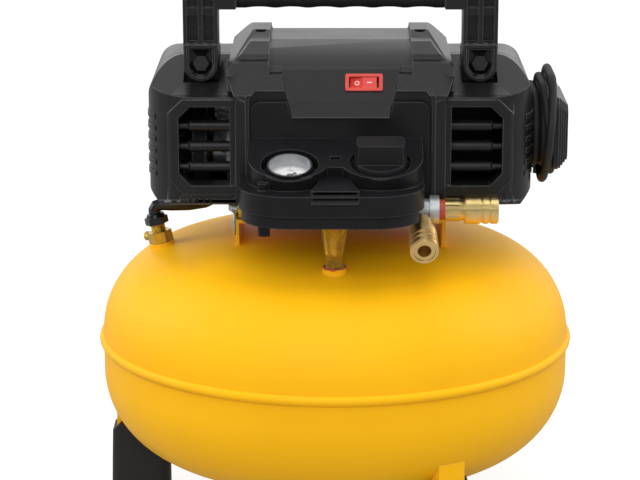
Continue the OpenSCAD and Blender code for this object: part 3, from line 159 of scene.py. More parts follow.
def finish(name, colour, rough, metal=0.0, vary=0.1, patch=25, grain=900, depth=0.00003,
           edge=None, round_over=0.0005, turned=None, lines=2600, turn_depth=0.00004, spec=0.5):
    """One surface finish: broad colour and gloss patches, fine grain, softened edges with a
    painted highlight in the lighter colour `edge`, and lathe lines along `turned` where it is
    given."""
    made = bpy.data.materials.new(name)
    made.use_nodes = True
    nodes, links = made.node_tree.nodes, made.node_tree.links
    shader = nodes["Principled BSDF"]
    shader.inputs["Metallic"].default_value = metal
    shader.inputs["Specular IOR Level"].default_value = spec
    where = nodes.new("ShaderNodeTexCoord")
    broad = nodes.new("ShaderNodeTexNoise")
    broad.inputs["Scale"].default_value = patch
    broad.inputs["Detail"].default_value = 4
    links.new(where.outputs["Object"], broad.inputs["Vector"])
    spread = nodes.new("ShaderNodeMapRange")
    spread.inputs["From Min"].default_value = 0.3
    spread.inputs["From Max"].default_value = 0.7
    links.new(broad.outputs["Fac"], spread.inputs["Value"])
    tint = nodes.new("ShaderNodeMix")
    tint.data_type = "RGBA"
    base = hue(colour)
    tint.inputs[6].default_value = tuple(c * (1 - vary) for c in base[:3]) + (1,)
    tint.inputs[7].default_value = tuple(min(1, c * (1 + vary)) for c in base[:3]) + (1,)
    links.new(spread.outputs["Result"], tint.inputs[0])
    shine = nodes.new("ShaderNodeMapRange")
    shine.inputs["To Min"].default_value = rough * 0.88
    shine.inputs["To Max"].default_value = min(1, rough * 1.12)
    links.new(broad.outputs["Fac"], shine.inputs["Value"])
    links.new(shine.outputs["Result"], shader.inputs["Roughness"])
    soft = nodes.new("ShaderNodeBevel")
    soft.samples = 4
    soft.inputs["Radius"].default_value = round_over
    fine = nodes.new("ShaderNodeTexNoise")
    fine.inputs["Scale"].default_value = grain
    fine.inputs["Detail"].default_value = 3
    links.new(where.outputs["Object"], fine.inputs["Vector"])
    bump = nodes.new("ShaderNodeBump")
    bump.inputs["Distance"].default_value = depth
    links.new(fine.outputs["Fac"], bump.inputs["Height"])
    links.new(soft.outputs["Normal"], bump.inputs["Normal"])
    top = bump
    if turned:
        along = nodes.new("ShaderNodeVectorMath")
        along.operation = "DOT_PRODUCT"
        along.inputs[1].default_value = turned
        links.new(where.outputs["Object"], along.inputs[0])
        wave = nodes.new("ShaderNodeMath")
        wave.operation = "MULTIPLY"
        wave.inputs[1].default_value = lines * 2 * math.pi
        links.new(along.outputs["Value"], wave.inputs[0])
        ridge = nodes.new("ShaderNodeMath")
        ridge.operation = "SINE"
        links.new(wave.outputs["Value"], ridge.inputs[0])
        top = nodes.new("ShaderNodeBump")
        top.inputs["Distance"].default_value = turn_depth
        links.new(ridge.outputs["Value"], top.inputs["Height"])
        links.new(bump.outputs["Normal"], top.inputs["Normal"])
    links.new(top.outputs["Normal"], shader.inputs["Normal"])
    # Painted highlight: at the edges, where the softened normal turns away from the face's own,
    # the colour is mixed towards the lighter `edge` colour, so that every edge looks lit.
    if edge:
        bare = nodes.new("ShaderNodeNewGeometry")
        meet = nodes.new("ShaderNodeVectorMath")
        meet.operation = "DOT_PRODUCT"
        links.new(soft.outputs["Normal"], meet.inputs[0])
        links.new(bare.outputs["Normal"], meet.inputs[1])
        edge_highlight_mask = nodes.new("ShaderNodeMapRange")
        edge_highlight_mask.inputs["From Min"].default_value = 0.985
        edge_highlight_mask.inputs["From Max"].default_value = 0.86
        edge_highlight_mask.inputs["To Max"].default_value = 0.7
        links.new(meet.outputs["Value"], edge_highlight_mask.inputs["Value"])
        edge_highlight_mix = nodes.new("ShaderNodeMix")
        edge_highlight_mix.data_type = "RGBA"
        edge_highlight_mix.inputs[7].default_value = hue(edge)
        links.new(edge_highlight_mask.outputs["Result"], edge_highlight_mix.inputs[0])
        links.new(tint.outputs[2], edge_highlight_mix.inputs[6])
        links.new(edge_highlight_mix.outputs[2], shader.inputs["Base Color"])
    else:
        links.new(tint.outputs[2], shader.inputs["Base Color"])
    return made


def dress(material, *names):
    for name in names:
        for place in NODES[name].material_slots:
            place.material = material


# The `edge` colours given here and in the finishes below are lighter than their bases: painted
# highlights along the edges.
amber = finish("tank_paint", "fdba10", 0.46, vary=0.04, patch=8, grain=420, depth=0.00002,
               edge="ffd060", round_over=0.0008, spec=0.14)
dress(amber, "tank_upper", "tank_lower", "tank_weld", "legs", "pump_platform")

# Rubber boots, hoses and cord: soft black rubber with a dull bloom.
# The boots are pressed over the ends of the legs and carry the machine on the floor.
rubber = finish("rubber", "191819", 0.62, vary=0.25, patch=60, grain=1400, depth=0.00004,
                edge="38363a")
dress(rubber, "rubber_feet", "strain_relief", "handle_grip", "pump_isolators", "cord_plug",
      "drive_belt")
tube.materials.append(rubber)
hose_rubber = finish("hose_rubber", "0b0a10", 0.3, vary=0.2, patch=60, grain=1200)
dress(hose_rubber, "discharge_hose", "discharge_nut")

# Brass fittings: turned from bar, so fine lathe lines run round them. The two outlets with
# their sleeves are plated lighter than the fittings on the tank.
UPRIGHT, CROSSWISE = (0, 0, 1), (1, 0, 0)
FRONT_OUTLET = (0.0331914, -0.9504772, -0.309017)  # the front outlet's axis
brass = finish("brass", "c9a43c", 0.27, metal=1.0, vary=0.12, patch=120, edge="f2dc9a",
               turned=UPRIGHT, round_over=0.0003)
dress(brass, "drain_valve", "drain_knob", "check_valve", "tank_riser", "safety_valve")
sleeve_brass = finish("sleeve_brass", "f6dc96", 0.24, metal=1.0, vary=0.08, patch=90,
                      edge="fff0cc", turned=CROSSWISE, round_over=0.0003)
dress(sleeve_brass, "coupler_right", "sleeve_right")
front_brass = finish("front_brass", "ecc987", 0.24, metal=1.0, vary=0.08, patch=90,
                     edge="fff0cc", turned=FRONT_OUTLET, round_over=0.0003)
dress(front_brass, "coupler_front", "sleeve_front")

# Castings and steel: the manifold, crankcase, cylinder and motor housings are cast aluminium,
# matt and slightly grainy; shafts, bolts and the pull ring are bright steel, the cover's screws
# blackened. The thread sealant on the outlet is a red ring of dried paste.
cast = finish("cast_metal", "c9cdcf", 0.42, metal=0.9, vary=0.12, patch=70, grain=700,
              depth=0.00008, edge="eef0f2")
dress(cast, "manifold", "pump_frame", "motor_end_cap", "crankcase", "cylinder",
      "cylinder_head", "piston")
sealant = finish("sealant", "b3452c", 0.5, vary=0.2, patch=160, grain=900, depth=0.0002)
dress(sealant, "manifold_seal")
steel = finish("steel", "b8bbc0", 0.3, metal=1.0, vary=0.1, patch=100, turned=CROSSWISE)
dress(steel, "safety_ring", "head_bolts", "motor_rotor", "crankshaft", "crank_bearings",
      "gauge_case")
black_steel = finish("black_steel", "3a3a3c", 0.42, metal=0.8, vary=0.15, patch=200,
                     edge="6e6e70")
dress(black_steel, "handle_bolts", "shroud_screws")
stack = finish("stator_stack", "4a4c50", 0.4, metal=0.8, vary=0.15, patch=80,
               turned=CROSSWISE, lines=1300, turn_depth=0.0001)
dress(stack, "motor_stator")

# Shroud: two halves moulded in black polypropylene with a fine spark-eroded texture, screwed
# together along the black parting line. The cord wrap is of the same plastic. Outlines here
# are in millimetres, and x is counted from the cover's own middle.
MID = 4.5
SHARP = 11.6  # degrees; faces that meet at a larger angle keep a crisp edge
shroud_black = finish("shroud_plastic", "161617", 0.32, vary=0.12, patch=40, grain=1500,
                      depth=0.00003, edge="68686a", round_over=0.0012, spec=0.35)
dress(shroud_black, "cord_wrap")


def solid(name, shape):
    mesh = bpy.data.meshes.new(name)
    shape.to_mesh(mesh)
    shape.free()
    made = bpy.data.objects.new(name, mesh)
    bpy.context.scene.collection.objects.link(made)
    return made


def skin(shape, rings, closed):
    """Faces between rings of points; with `closed` a cap on the first ring and on the last."""
    if closed:
        shape.faces.new(rings[0])
        shape.faces.new(rings[-1])
    for one, two in zip(rings, rings[1:]):
        for k in range(len(one)):
            n = (k + 1) % len(one)
            shape.faces.new((one[k], one[n], two[n], two[k]))


def prism(axis, points, low, high):
    shape = bmesh.new()
    rings = []
    for t in (low, high):
        places = {"x": [(t, a, b) for a, b in points], "y": [(a, t, b) for a, b in points],
                  "z": [(a, b, t) for a, b in points]}[axis]
        rings.append([shape.verts.new([v / 1000 for v in place]) for place in places])
    skin(shape, rings, True)
    bmesh.ops.recalc_face_normals(shape, faces=shape.faces)
    return solid("prism", shape)


def centred(points, side=1):
    return [(MID + side * x, other) for x, other in points]


def pair(axis, points, low, high):
    return [prism(axis, centred(points, side), low, high) for side in (-1, 1)]


def arc(x, y, r, start, stop, steps=10):
    turns = [math.radians(start + (stop - start) * k / steps) for k in range(steps + 1)]
    return [(x + r * math.cos(a), y + r * math.sin(a)) for a in turns]


def combine(base, operation, *tools):
    for tool in tools:
        step = base.modifiers.new("step", "BOOLEAN")
        step.operation = operation
        step.solver = "EXACT"
        step.object = tool
    graph = bpy.context.evaluated_depsgraph_get()
    joined = bpy.data.meshes.new_from_object(base.evaluated_get(graph))
    base.modifiers.clear()
    base.data = joined
    for tool in tools:
        bpy.data.objects.remove(tool)
    return base


def moulding(name, node):
    shape = bmesh.new()
    shape.from_mesh(NODES[node].data)
    bmesh.ops.remove_doubles(shape, verts=shape.verts, dist=0.000002)
    return solid(name, shape)


def settle(piece, material, node, smooth=SHARP):
    piece.data.materials.clear()
    piece.data.materials.append(material)
    for face in piece.data.polygons:
        face.material_index = 0
        face.use_smooth = True
    piece.data.set_sharp_from_angle(angle=math.radians(smooth))
    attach(piece, "machine")
    if node:
        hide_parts(node)


# Cover's outer form: where its front outline, its plan and its side outline meet, grown by
# `grow` all round. The tongue that carries the switch narrows towards its lower edge.
HALF_W, FOOT, TOP = 161.5, 282, 407


def tongue_edge(z):
    return 40 + 11 * (z - 370) / 42


def tongue_outline(top):
    return centred([(-tongue_edge(top), top), (-40, 370), (40, 370), (tongue_edge(top), top)])


def shell(grow):
    half, foot = HALF_W + grow, FOOT - grow
    front = ([(-half, 302), (-half + 20, foot), (half - 20, foot), (half, 302)]
             + arc(133.5, 379, 28 + grow, 0, 90) + arc(-133.5, 379, 28 + grow, 90, 180))
    plan = (arc(-121.5, -50, 40 + grow, 180, 270) + arc(121.5, -50, 40 + grow, 270, 360)
            + [(half, 0), (-half, 0)])
    side = [(0, foot), (-90 - grow, 290), (-90 - grow, 385 + grow), (-8, TOP + grow),
            (0, TOP + grow)]
    body = prism("y", centred(front), -100, 0)
    return combine(body, "INTERSECT", prism("z", centred(plan), 260, 430),
                   prism("x", side, -170, 180))


# Front half: a brow falls to the switch between two rails, and a lip frames the console's well.
# Each grille opening has a raised, chamfered rim; four slots vent the lower left edge.
BROW = [(-2, 418), (-30, 416), (-50, 412.6), (-66, 407.2), (-67.5, 402.5)]
WELL = [(-75.5, 385.5), (-70.5, 391.5), (70.5, 391.5), (75.5, 385.5)]
front_cover = moulding("front_cover", "shroud_front")
combine(front_cover, "DIFFERENCE",
        prism("x", BROW + [(-120, 402.5), (-120, 440), (-2, 440)], MID - 59.5, MID + 59.5),
        prism("y", centred([(-75.5, 280)] + WELL + [(75.5, 280)]), -112, -89.3),
        prism("x", [(-112, 270), (-112, 296), (-97, 296), (-90, 295), (-38, 282), (-38, 270)],
              -170, 180),
        *pair("y", [(92, 305), (137, 305), (143, 317), (143, 372), (137, 384), (92, 384)],
              -95, -60))
lip = prism("y", centred([(-78.5, 296), (-75.5, 296)] + WELL
                         + [(75.5, 296), (78.5, 296), (78.5, 386.7), (71.7, 394.5),
                            (-71.7, 394.5), (-78.5, 386.7)]), -98.6, -80)
combine(lip, "INTERSECT",
        prism("x", [(-80, 290), (-98.4, 296), (-98.4, 388.6), (-77, 410), (-70, 410)],
              -120, 120))
combine(front_cover, "UNION", lip)
combine(front_cover, "DIFFERENCE", prism("y", tongue_outline(440), -120, -66))
tongue = prism("y", tongue_outline(408), -104, -60)
combine(tongue, "INTERSECT",
        prism("x", [(-60, 408.2), (-66, 407.2), (-71.05, 405.6), (-86, 382), (-100, 370),
                    (-94.5, 370), (-81, 382), (-64, 404), (-60, 404)], -60, 80))
combine(tongue, "DIFFERENCE",
        prism("x", [(-89.6, 395), (-82.7, 405.9), (-48.9, 384.5), (-55.9, 373.5)], 10.5, 37.5))
brow = prism("x", [(-1, 418)] + BROW + [(-82.3, 402.5), (-82.3, 399), (-60, 399), (-60, 404),
                                        (-1, 413)], MID - 60.5, MID + 60.5)
combine(brow, "DIFFERENCE",
        prism("y", centred([(-50, 408), (-46, 395), (46, 395), (50, 408)]), -90, -68))
toe = shell(0)
combine(toe, "INTERSECT",
        prism("x", [(-38, 282), (-92, 295.5), (-92, 299), (-38, 285.4)], -170, 180))
combine(toe, "DIFFERENCE",
        prism("z", centred([(-83, -59), (83, -59), (83, 0), (-83, 0)]), 270, 310))
combine(front_cover, "UNION", tongue, brow, toe)


def rails(foot, low, high, side_outline):
    made = pair("y", [(59.5, foot), (60, 427), (75, 427), (79, 423), (94, 407), (94, foot)],
                low, high)
    return [combine(rail, "INTERSECT", prism("x", side_outline, -120, 130)) for rail in made]


combine(front_cover, "UNION",
        *rails(398, -100, 0, [(0, 396), (0, 427), (-2, 427), (-75, 411), (-82, 402),
                              (-82, 396)]))
RIM_FRONT, RIM_BACK = -98, -70
rims = pair("y", [(88, 303), (131, 303), (144, 316), (144, 370.5), (131, 383.5), (88, 383.5)],
            RIM_FRONT, RIM_BACK)
panes = pair("y", [(88, 301), (146, 301), (146, 386.5), (88, 386.5)], RIM_FRONT, RIM_BACK)
holes = pair("y", [(80, 311), (124.5, 311), (134.5, 321), (134.5, 367.5), (124.5, 377.5),
                   (80, 377.5)], -110, -60)
for rim, pane, hole in zip(rims, panes, holes):
    combine(rim, "INTERSECT", shell(2))
    combine(rim, "UNION", combine(pane, "INTERSECT", shell(0.01)))
    combine(rim, "DIFFERENCE", hole)
combine(front_cover, "UNION", *rims)
LOW_SLOTS, SLOT_W = (-122, -116.5, -111, -105.5), 2.4
combine(front_cover, "DIFFERENCE",
        *pair("z", arc(68, -2.5, 5.2, 0, 345, 23), 424.5, 430),
        *[prism("y", [(x, 284), (x + SLOT_W, 284), (x + SLOT_W, 299), (x, 299)], -95, -84)
          for x in LOW_SLOTS])
settle(front_cover, shroud_black, "shroud_front")

# Grille bars: three round bars moulded across each front opening, stepped down to a thin
# stub where they run into the rim.
BAR_Y, BAR_Z, BAR_STEP = -78, 324.3, 0.0175
BAR_STEPS = [(84, 4.6), (125.4, 4.6), (126.8, 3.6), (127, 3.2), (136, 3.2)]


def in_a_row(name, piece, count, step, material):
    """Copies of one moulded detail, `step` metres apart: a Geometry Nodes tree made plain."""
    tree = bpy.data.node_groups.new(name, "GeometryNodeTree")
    sockets = {}
    for title, kind in (("Geometry", "NodeSocketGeometry"), ("Count", "NodeSocketInt"),
                        ("Step", "NodeSocketVector"), ("Material", "NodeSocketMaterial")):
        sockets[title] = tree.interface.new_socket(title, in_out="INPUT", socket_type=kind)
    tree.interface.new_socket("Geometry", in_out="OUTPUT", socket_type="NodeSocketGeometry")
    nodes, links = tree.nodes, tree.links
    given = nodes.new("NodeGroupInput")
    places = nodes.new("GeometryNodeMeshLine")
    links.new(given.outputs["Count"], places.inputs["Count"])
    links.new(given.outputs["Step"], places.inputs["Offset"])
    copies = nodes.new("GeometryNodeInstanceOnPoints")
    links.new(places.outputs["Mesh"], copies.inputs["Points"])
    links.new(given.outputs["Geometry"], copies.inputs["Instance"])
    whole = nodes.new("GeometryNodeRealizeInstances")
    links.new(copies.outputs["Instances"], whole.inputs["Geometry"])
    coat = nodes.new("GeometryNodeSetMaterial")
    links.new(whole.outputs["Geometry"], coat.inputs["Geometry"])
    links.new(given.outputs["Material"], coat.inputs["Material"])
    result = nodes.new("NodeGroupOutput")
    links.new(coat.outputs["Geometry"], result.inputs["Geometry"])
    row = piece.modifiers.new(name, "NODES")
    row.node_group = tree
    row[sockets["Count"].identifier] = count
    row[sockets["Step"].identifier] = step
    row[sockets["Material"].identifier] = material
    graph = bpy.context.evaluated_depsgraph_get()
    plain = bpy.data.meshes.new_from_object(piece.evaluated_get(graph))
    piece.modifiers.clear()
    piece.data = plain
    return piece


bars = bmesh.new()
for side in (-1, 1):
    skin(bars, [[bars.verts.new(((MID + side * x) / 1000, (BAR_Y + r * math.cos(a)) / 1000,
                                 (BAR_Z + r * math.sin(a)) / 1000))
                 for a in [math.pi * n / 12 for n in range(24)]] for x, r in BAR_STEPS], True)
bmesh.ops.recalc_face_normals(bars, faces=bars.faces)
grille_bars = in_a_row("grille_bars", solid("grille_bars", bars), 3, (0, 0, BAR_STEP),
                       shroud_black)
settle(grille_bars, shroud_black, None, smooth=35)

# Rear half: it carries the rails on over the back, and two baffles inside its louvers keep
# fingers off the motor. It is the same black moulding, screwed to the front half.
rear_cover = moulding("rear_cover", "shroud_rear")
baffles = pair("z", [(87.5, 84), (146, 84), (146, 86.5), (143, 98), (140, 98), (140, 86.5),
                     (90, 86.5), (90, 98), (87.5, 98)], 290, 398)
for baffle in baffles:
    combine(baffle, "INTERSECT",
            prism("x", [(80, 286), (98.5, 286), (98.5, 352), (92, 368), (86.5, 378), (80, 384)],
                  -170, 180))
combine(rear_cover, "UNION",
        *rails(380, 0.1, 100, [(0.1, 390), (0.1, 427)] + arc(32, 363, 64, 90, 20)
               + [(92, 380)]), *baffles)
settle(rear_cover, shroud_black, "shroud_rear")

# Side ribs: six short ribs wrap each front corner of the cover and stiffen it. They stand
# under a millimetre proud of the wall that they are moulded on.
CORNER = (121.5, -50)
RIB_Z, RIB_HALF, RIB_STEP = 317.3, 2.2, 0.0097
bend = ([(CORNER[0] + 40.9 * math.cos(a), CORNER[1] + 40.9 * math.sin(a))
         for a in [math.radians(-34 + 3.4 * n) for n in range(11)]] + [(162.4, -30), (160, -30)]
        + [(CORNER[0] + 38.5 * math.cos(a), CORNER[1] + 38.5 * math.sin(a))
           for a in [math.radians(-3.4 * n) for n in range(11)]])
ribs = bmesh.new()
for side in (-1, 1):
    skin(ribs, [[ribs.verts.new(((MID + side * x) / 1000, y / 1000, (RIB_Z + up) / 1000))
                 for x, y in bend] for up in (-RIB_HALF, RIB_HALF)], True)
bmesh.ops.recalc_face_normals(ribs, faces=ribs.faces)
side_ribs = in_a_row("side_ribs", solid("side_ribs", ribs), 6, (0, 0, RIB_STEP), shroud_black)
settle(side_ribs, shroud_black, None)

# Carrying handle: each arm is a ribbed moulding bolted down through a pocket with a raised rim.
# The bar between the arms has a soft rubber sleeve with finger hollows underneath.
ARM_MID, FOOT_Z = 116.5, 408
GROOVE_W = 9.2
handle_body = moulding("handle_body", "handle")
combine(handle_body, "UNION",
        *pair("y", [(102.05, 420), (130.95, 420), (130.95, 467), (127.5, 476.5), (119, 482.6),
                    (87, 482.6), (87, 453.7), (102.05, 453.7)], -61.9, -30.1))
low_left = [(99, FOOT_Z)] + arc(ARM_MID, FOOT_Z, 14.6, 180, 270) + [(ARM_MID, 385), (99, 385)]
low_right = [(ARM_MID, 385)] + arc(ARM_MID, FOOT_Z, 14.6, 270, 360) + [(134, FOOT_Z), (134, 385)]
grooves = []
for x in (105.3, 118.5):
    for low, high, back in ((426, 448.6, -53.5), (455, 470, -53.5), (445, 458, -58.8)):
        grooves += pair("y", [(x, low), (x + GROOVE_W, low), (x + GROOVE_W, high), (x, high)],
                        -64, back)
combine(handle_body, "DIFFERENCE",
        *pair("y", [(80, 430), (101.9, 430), (101.9, 453.6), (80, 453.6)], -70, -20),
        *pair("y", low_left, -70, -20), *pair("y", low_right, -70, -20), *grooves)
pocket_rims = pair("y", arc(ARM_MID, FOOT_Z, 13.9, 180, 360) + [(130.4, 424.4), (102.6, 424.4)],
                   -63.4, -61.5)
pockets = pair("y", arc(ARM_MID, FOOT_Z, 11.4, 180, 360) + [(127.9, 422), (105.1, 422)],
               -66, -60)
for rim, pocket in zip(pocket_rims, pockets):
    combine(handle_body, "UNION", combine(rim, "DIFFERENCE", pocket))
settle(handle_body, shroud_black, "handle")

# Console: the panel, a two-lobed deck and its skirted tray are one moulding, less glossy than
# the cover. A ramp runs from the deck's waist to a slot in the front edge, over a bevelled lip.
console_black = finish("console_plastic", "1a1a1c", 0.34, vary=0.12, patch=40, grain=1500,
                       depth=0.00003, edge="565658", round_over=0.0013, spec=0.16)
dress(console_black, "console", "cooling_fan", "intake_filter", "pressure_switch",
      "regulator_body")
console_trim = prism("y", [(-69, 345), (-69, 377), (-67.3, 380.6), (-63, 382.5), (71.5, 382.5),
                           (75.8, 380.6), (77.5, 377), (77.5, 345)], -95.56, -89.5)
GAP = 0.6  # between the panel and the switch tongue
combine(console_trim, "DIFFERENCE",
        prism("y", centred([(-40 - GAP, 369), (-tongue_edge(400) - GAP, 400),
                            (tongue_edge(400) + GAP, 400), (40 + GAP, 369)]), -105, -80))
ramp = prism("x", [(-136, 330.2), (-142, 329), (-168.5, 324), (-168.5, 316), (-136, 316)],
             -30, 30)
combine(ramp, "INTERSECT",
        prism("z", [(-11, -136), (11, -136), (11, -142), (20, -168.5), (-20, -168.5),
                    (-11, -142)], 300, 340))
combine(ramp, "DIFFERENCE",
        prism("y", [(-18, 321.05), (18, 321.05), (18, 323.2), (-18, 323.2)], -180, -160))
combine(console_trim, "UNION", ramp,
        prism("x", [(-174, 312.5), (-178.2, 315.2), (-171.5, 321.4), (-168.6, 321.02),
                    (-168.6, 318)], -19, 19))
settle(console_trim, console_black, None, smooth=20)

# Regulator knob and red rocker switch: smooth injection-moulded plastic. The knob is pushed on
# to the regulator's stem, and the switch snaps into its frame from above.
knob_black = finish("knob_plastic", "1a1a1c", 0.36, vary=0.1, patch=60, grain=1600,
                    depth=0.00002, edge="4c4c4e", round_over=0.0012, spec=0.2)
dress(knob_black, "regulator_knob")
switch_red = finish("switch_red", "d43a30", 0.3, vary=0.06, patch=60, grain=900, depth=0.00001,
                    edge="f0897c")
dress(switch_red, "rocker", "rocker_frame")

# Gauge: a white printed dial under a clear moulded lens, with a black needle on a spindle
# through its middle.
card = finish("dial_card", "f4f4f2", 0.55, vary=0.02)
dress(card, "gauge_dial")
needle_black = finish("needle_paint", "141414", 0.4, vary=0.1)
dress(needle_black, "gauge_needle")
clear = bpy.data.materials.new("lens")
clear.use_nodes = True
pane = clear.node_tree.nodes["Principled BSDF"]
pane.inputs["Alpha"].default_value = 0.08
pane.inputs["Roughness"].default_value = 0.04
pane.inputs["Base Color"].default_value = (0.9, 0.9, 0.9, 1)
dress(clear, "gauge_lens")

# Dial print: a scale of ticks and round numbers, printed in black on the card over 270
# degrees. Places on the card are in millimetres across and up the tilted deck.
DECK_TILT = math.radians(18)
DECK_Y, DECK_Z = -95, 352.5
DIAL_X, DIAL_V, INK = -37, -43, -11.94
SCALE_R, SCALE_W = 15.8, 0.3
NUMBER_R, NUMBER_H = 10, 3.6
TICKS = 40


def on_dial(x, v):
    x, v = DIAL_X + x, DIAL_V + v
    return (x / 1000, (DECK_Y + v * math.cos(DECK_TILT) - INK * math.sin(DECK_TILT)) / 1000,
            (DECK_Z + v * math.sin(DECK_TILT) + INK * math.cos(DECK_TILT)) / 1000)


def dial_angle(share):
    return math.radians(225 - 270 * share)


marks = bmesh.new()
for k in range(TICKS + 1):
    a = dial_angle(k / TICKS)
    inner, half = (12.6, 0.26) if k % 10 == 0 else (13.6, 0.16) if k % 5 == 0 else (14.4, 0.09)
    marks.faces.new([marks.verts.new(on_dial(r * math.cos(a) - w * math.sin(a),
                                             r * math.sin(a) + w * math.cos(a)))
                     for r, w in ((inner, -half), (SCALE_R, -half), (SCALE_R, half),
                                  (inner, half))])
scale = [[marks.verts.new(on_dial(r * math.cos(dial_angle(n / 60)),
                                  r * math.sin(dial_angle(n / 60)))) for n in range(61)]
         for r in (SCALE_R, SCALE_R + SCALE_W)]
for n in range(60):
    marks.faces.new((scale[0][n], scale[0][n + 1], scale[1][n + 1], scale[1][n]))
for k, label in enumerate(("0", "50", "100", "150", "200")):
    a = dial_angle(k / 4)
    words = bpy.data.curves.new("label", "FONT")
    words.body = label
    words.size = NUMBER_H
    words.align_x = "CENTER"
    words.align_y = "CENTER"
    holder = bpy.data.objects.new("label", words)
    bpy.context.scene.collection.objects.link(holder)
    bpy.context.view_layer.update()
    letters = bpy.data.meshes.new_from_object(holder)
    for vert in letters.vertices:
        vert.co = on_dial(NUMBER_R * math.cos(a) + vert.co.x, NUMBER_R * math.sin(a) + vert.co.y)
    marks.from_mesh(letters)
    bpy.data.objects.remove(holder)
    bpy.data.meshes.remove(letters)
dial_print = solid("dial_print", marks)
dial_print.data.materials.clear()
dial_print.data.materials.append(needle_black)
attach(dial_print, "machine")

# Rocker marks: a ring and a dash printed in white on the two ends of the rocker. Each point
# is laid on the rocker's face along the switch's own axis.
LEAN = math.atan(19 / 30)
OUT = Vector((0, -math.cos(LEAN), math.sin(LEAN)))
UP = Vector((0, math.sin(LEAN), math.cos(LEAN)))
INK_LIFT = 0.00006
RING_AT, RING_R = (18.2, 15.5), (1.3, 1.95)
DASH = ((26.6, 15.1), (30.4, 15.1), (30.4, 15.9), (26.6, 15.9))


def on_rocker(x, up):
    start = Vector((0, -0.086, 0.382)) + Vector((x / 1000, 0, 0)) + UP * up / 1000 + OUT * 0.03
    hit, place, normal, index = NODES["rocker"].ray_cast(start, -OUT)
    return place + OUT * INK_LIFT if hit else start - OUT * 0.028


signs = bmesh.new()
skin(signs, [[signs.verts.new(on_rocker(RING_AT[0] + r * math.cos(math.pi * n / 12),
                                        RING_AT[1] + r * math.sin(math.pi * n / 12)))
              for n in range(24)] for r in RING_R], False)
signs.faces.new([signs.verts.new(on_rocker(x, up)) for x, up in DASH])
rocker_signs = solid("rocker_signs", signs)
print_white = finish("print_white", "f3d9d4", 0.5, vary=0.03)
rocker_signs.data.materials.append(print_white)
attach(rocker_signs, "rocker")

# Thread sealant: a bead of red paste squeezed out round the riser where it screws into the
# tank's bung. It dries uneven, thicker here and thinner there.
BEAD_R, BEAD_THICK = 0.0088, 0.0012
low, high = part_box("tank_riser")
centre = Vector(((low.x + high.x) / 2, (low.y + high.y) / 2, 0))
bead = bmesh.new()
rings = []
for n in range(28):
    a = 2 * math.pi * n / 28
    outwards = Vector((math.cos(a), math.sin(a), 0))
    start = centre + outwards * BEAD_R + Vector((0, 0, 0.3))
    hit, place, normal, index = NODES["tank_upper"].ray_cast(start, Vector((0, 0, -1)))
    thick = BEAD_THICK * (1 + 0.3 * math.sin(3 * a + 1) + 0.2 * math.sin(7 * a))
    rings.append([bead.verts.new(place + outwards * thick * math.cos(b)
                                 + Vector((0, 0, thick * math.sin(b) + 0.0002)))
                  for b in [2 * math.pi * m / 10 for m in range(10)]])
skin(bead, rings + rings[:1], False)
bmesh.ops.recalc_face_normals(bead, faces=bead.faces)
riser_sealant = solid("riser_sealant", bead)
settle(riser_sealant, sealant, None, smooth=60)

# Studio: a pale floor that shows white to the camera but keeps the machine's soft shadow, and
# broad soft lamps in front, above, left, right and behind. Metal and gloss see a pale horizon.
bpy.ops.mesh.primitive_circle_add(vertices=96, radius=30, fill_type="NGON")
floor = bpy.context.object
floor.name = "studio_floor"
pale = bpy.data.materials.new("studio_floor")
pale.use_nodes = True
nodes, links = pale.node_tree.nodes, pale.node_tree.links
matt = nodes["Principled BSDF"]
matt.inputs["Base Color"].default_value = (0.9, 0.9, 0.9, 1)
matt.inputs["Roughness"].default_value = 0.9
matt.inputs["Specular IOR Level"].default_value = 0.1
rays = nodes.new("ShaderNodeLightPath")
level = nodes.new("ShaderNodeMapRange")
level.inputs["To Min"].default_value = 0.3
level.inputs["To Max"].default_value = 1.12
links.new(rays.outputs["Is Camera Ray"], level.inputs["Value"])
glow = nodes.new("ShaderNodeEmission")
links.new(level.outputs["Result"], glow.inputs["Strength"])
both = nodes.new("ShaderNodeMixShader")
both.inputs[0].default_value = 0.72
links.new(matt.outputs[0], both.inputs[1])
links.new(glow.outputs[0], both.inputs[2])
links.new(both.outputs[0], nodes["Material Output"].inputs["Surface"])
floor.data.materials.append(pale)
world = bpy.data.worlds.new("studio")
bpy.context.scene.world = world
world.use_nodes = True
nodes, links = world.node_tree.nodes, world.node_tree.links
look = nodes.new("ShaderNodeTexCoord")
axes = nodes.new("ShaderNodeSeparateXYZ")
links.new(look.outputs["Generated"], axes.inputs[0])
rise = nodes.new("ShaderNodeMapRange")
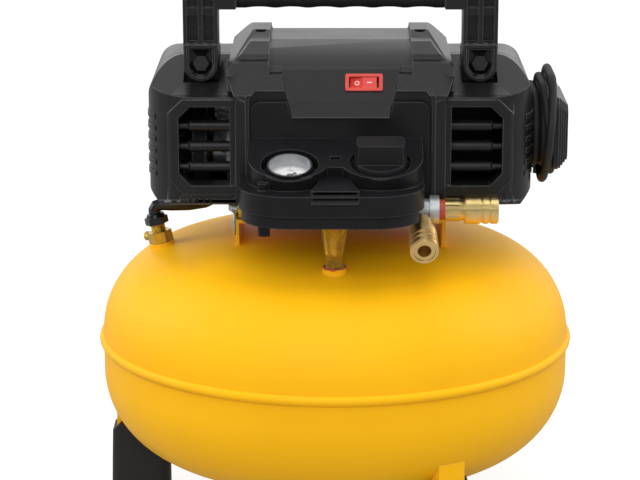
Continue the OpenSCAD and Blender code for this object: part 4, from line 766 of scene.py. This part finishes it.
rise.interpolation_type = "SMOOTHSTEP"
rise.inputs["From Min"].default_value = 0.42
rise.inputs["From Max"].default_value = 0.28
rise.inputs["To Min"].default_value = 0.08
rise.inputs["To Max"].default_value = 1.25
links.new(axes.outputs["Z"], rise.inputs["Value"])
behind = nodes.new("ShaderNodeMapRange")
behind.interpolation_type = "SMOOTHSTEP"
behind.inputs["From Min"].default_value = -0.5
behind.inputs["From Max"].default_value = 0.3
behind.inputs["To Min"].default_value = 0.26
links.new(axes.outputs["Y"], behind.inputs["Value"])
backdrop = nodes.new("ShaderNodeMath")
backdrop.operation = "MULTIPLY"
links.new(rise.outputs["Result"], backdrop.inputs[0])
links.new(behind.outputs["Result"], backdrop.inputs[1])
rays = nodes.new("ShaderNodeLightPath")
seen = nodes.new("ShaderNodeMix")
seen.inputs[2].default_value = 0.78
links.new(rays.outputs["Is Glossy Ray"], seen.inputs[0])
links.new(backdrop.outputs[0], seen.inputs[3])
strength = seen.outputs[0]
for white_to in ("Is Camera Ray", "Is Transmission Ray"):
    clean = nodes.new("ShaderNodeMath")
    clean.operation = "MAXIMUM"
    links.new(strength, clean.inputs[0])
    links.new(rays.outputs[white_to], clean.inputs[1])
    strength = clean.outputs[0]
links.new(strength, nodes["Background"].inputs["Strength"])
nodes["Background"].inputs["Color"].default_value = (1, 1, 1, 1)
AIM = Vector((0, 0, 0.25))
LAMPS = [("key", (-0.4, -2.3, 1.7), 1.6, 20), ("top", (0, -0.7, 2.3), 1.4, 10),
         ("right", (1.7, 0.2, 1.2), 1.2, 12), ("left", (-1.7, 0.2, 1.2), 1.2, 12),
         ("back", (0.2, 1.4, 1.9), 1.6, 5)]
for name, place, size, power in LAMPS:
    lamp = bpy.data.lights.new(name, "AREA")
    lamp.size = size
    lamp.energy = power
    placed = bpy.data.objects.new(name, lamp)
    placed.location = place
    placed.rotation_euler = (AIM - Vector(place)).to_track_quat("-Z", "Y").to_euler()
    bpy.context.scene.collection.objects.link(placed)
bpy.context.scene.view_settings.view_transform = "Standard"
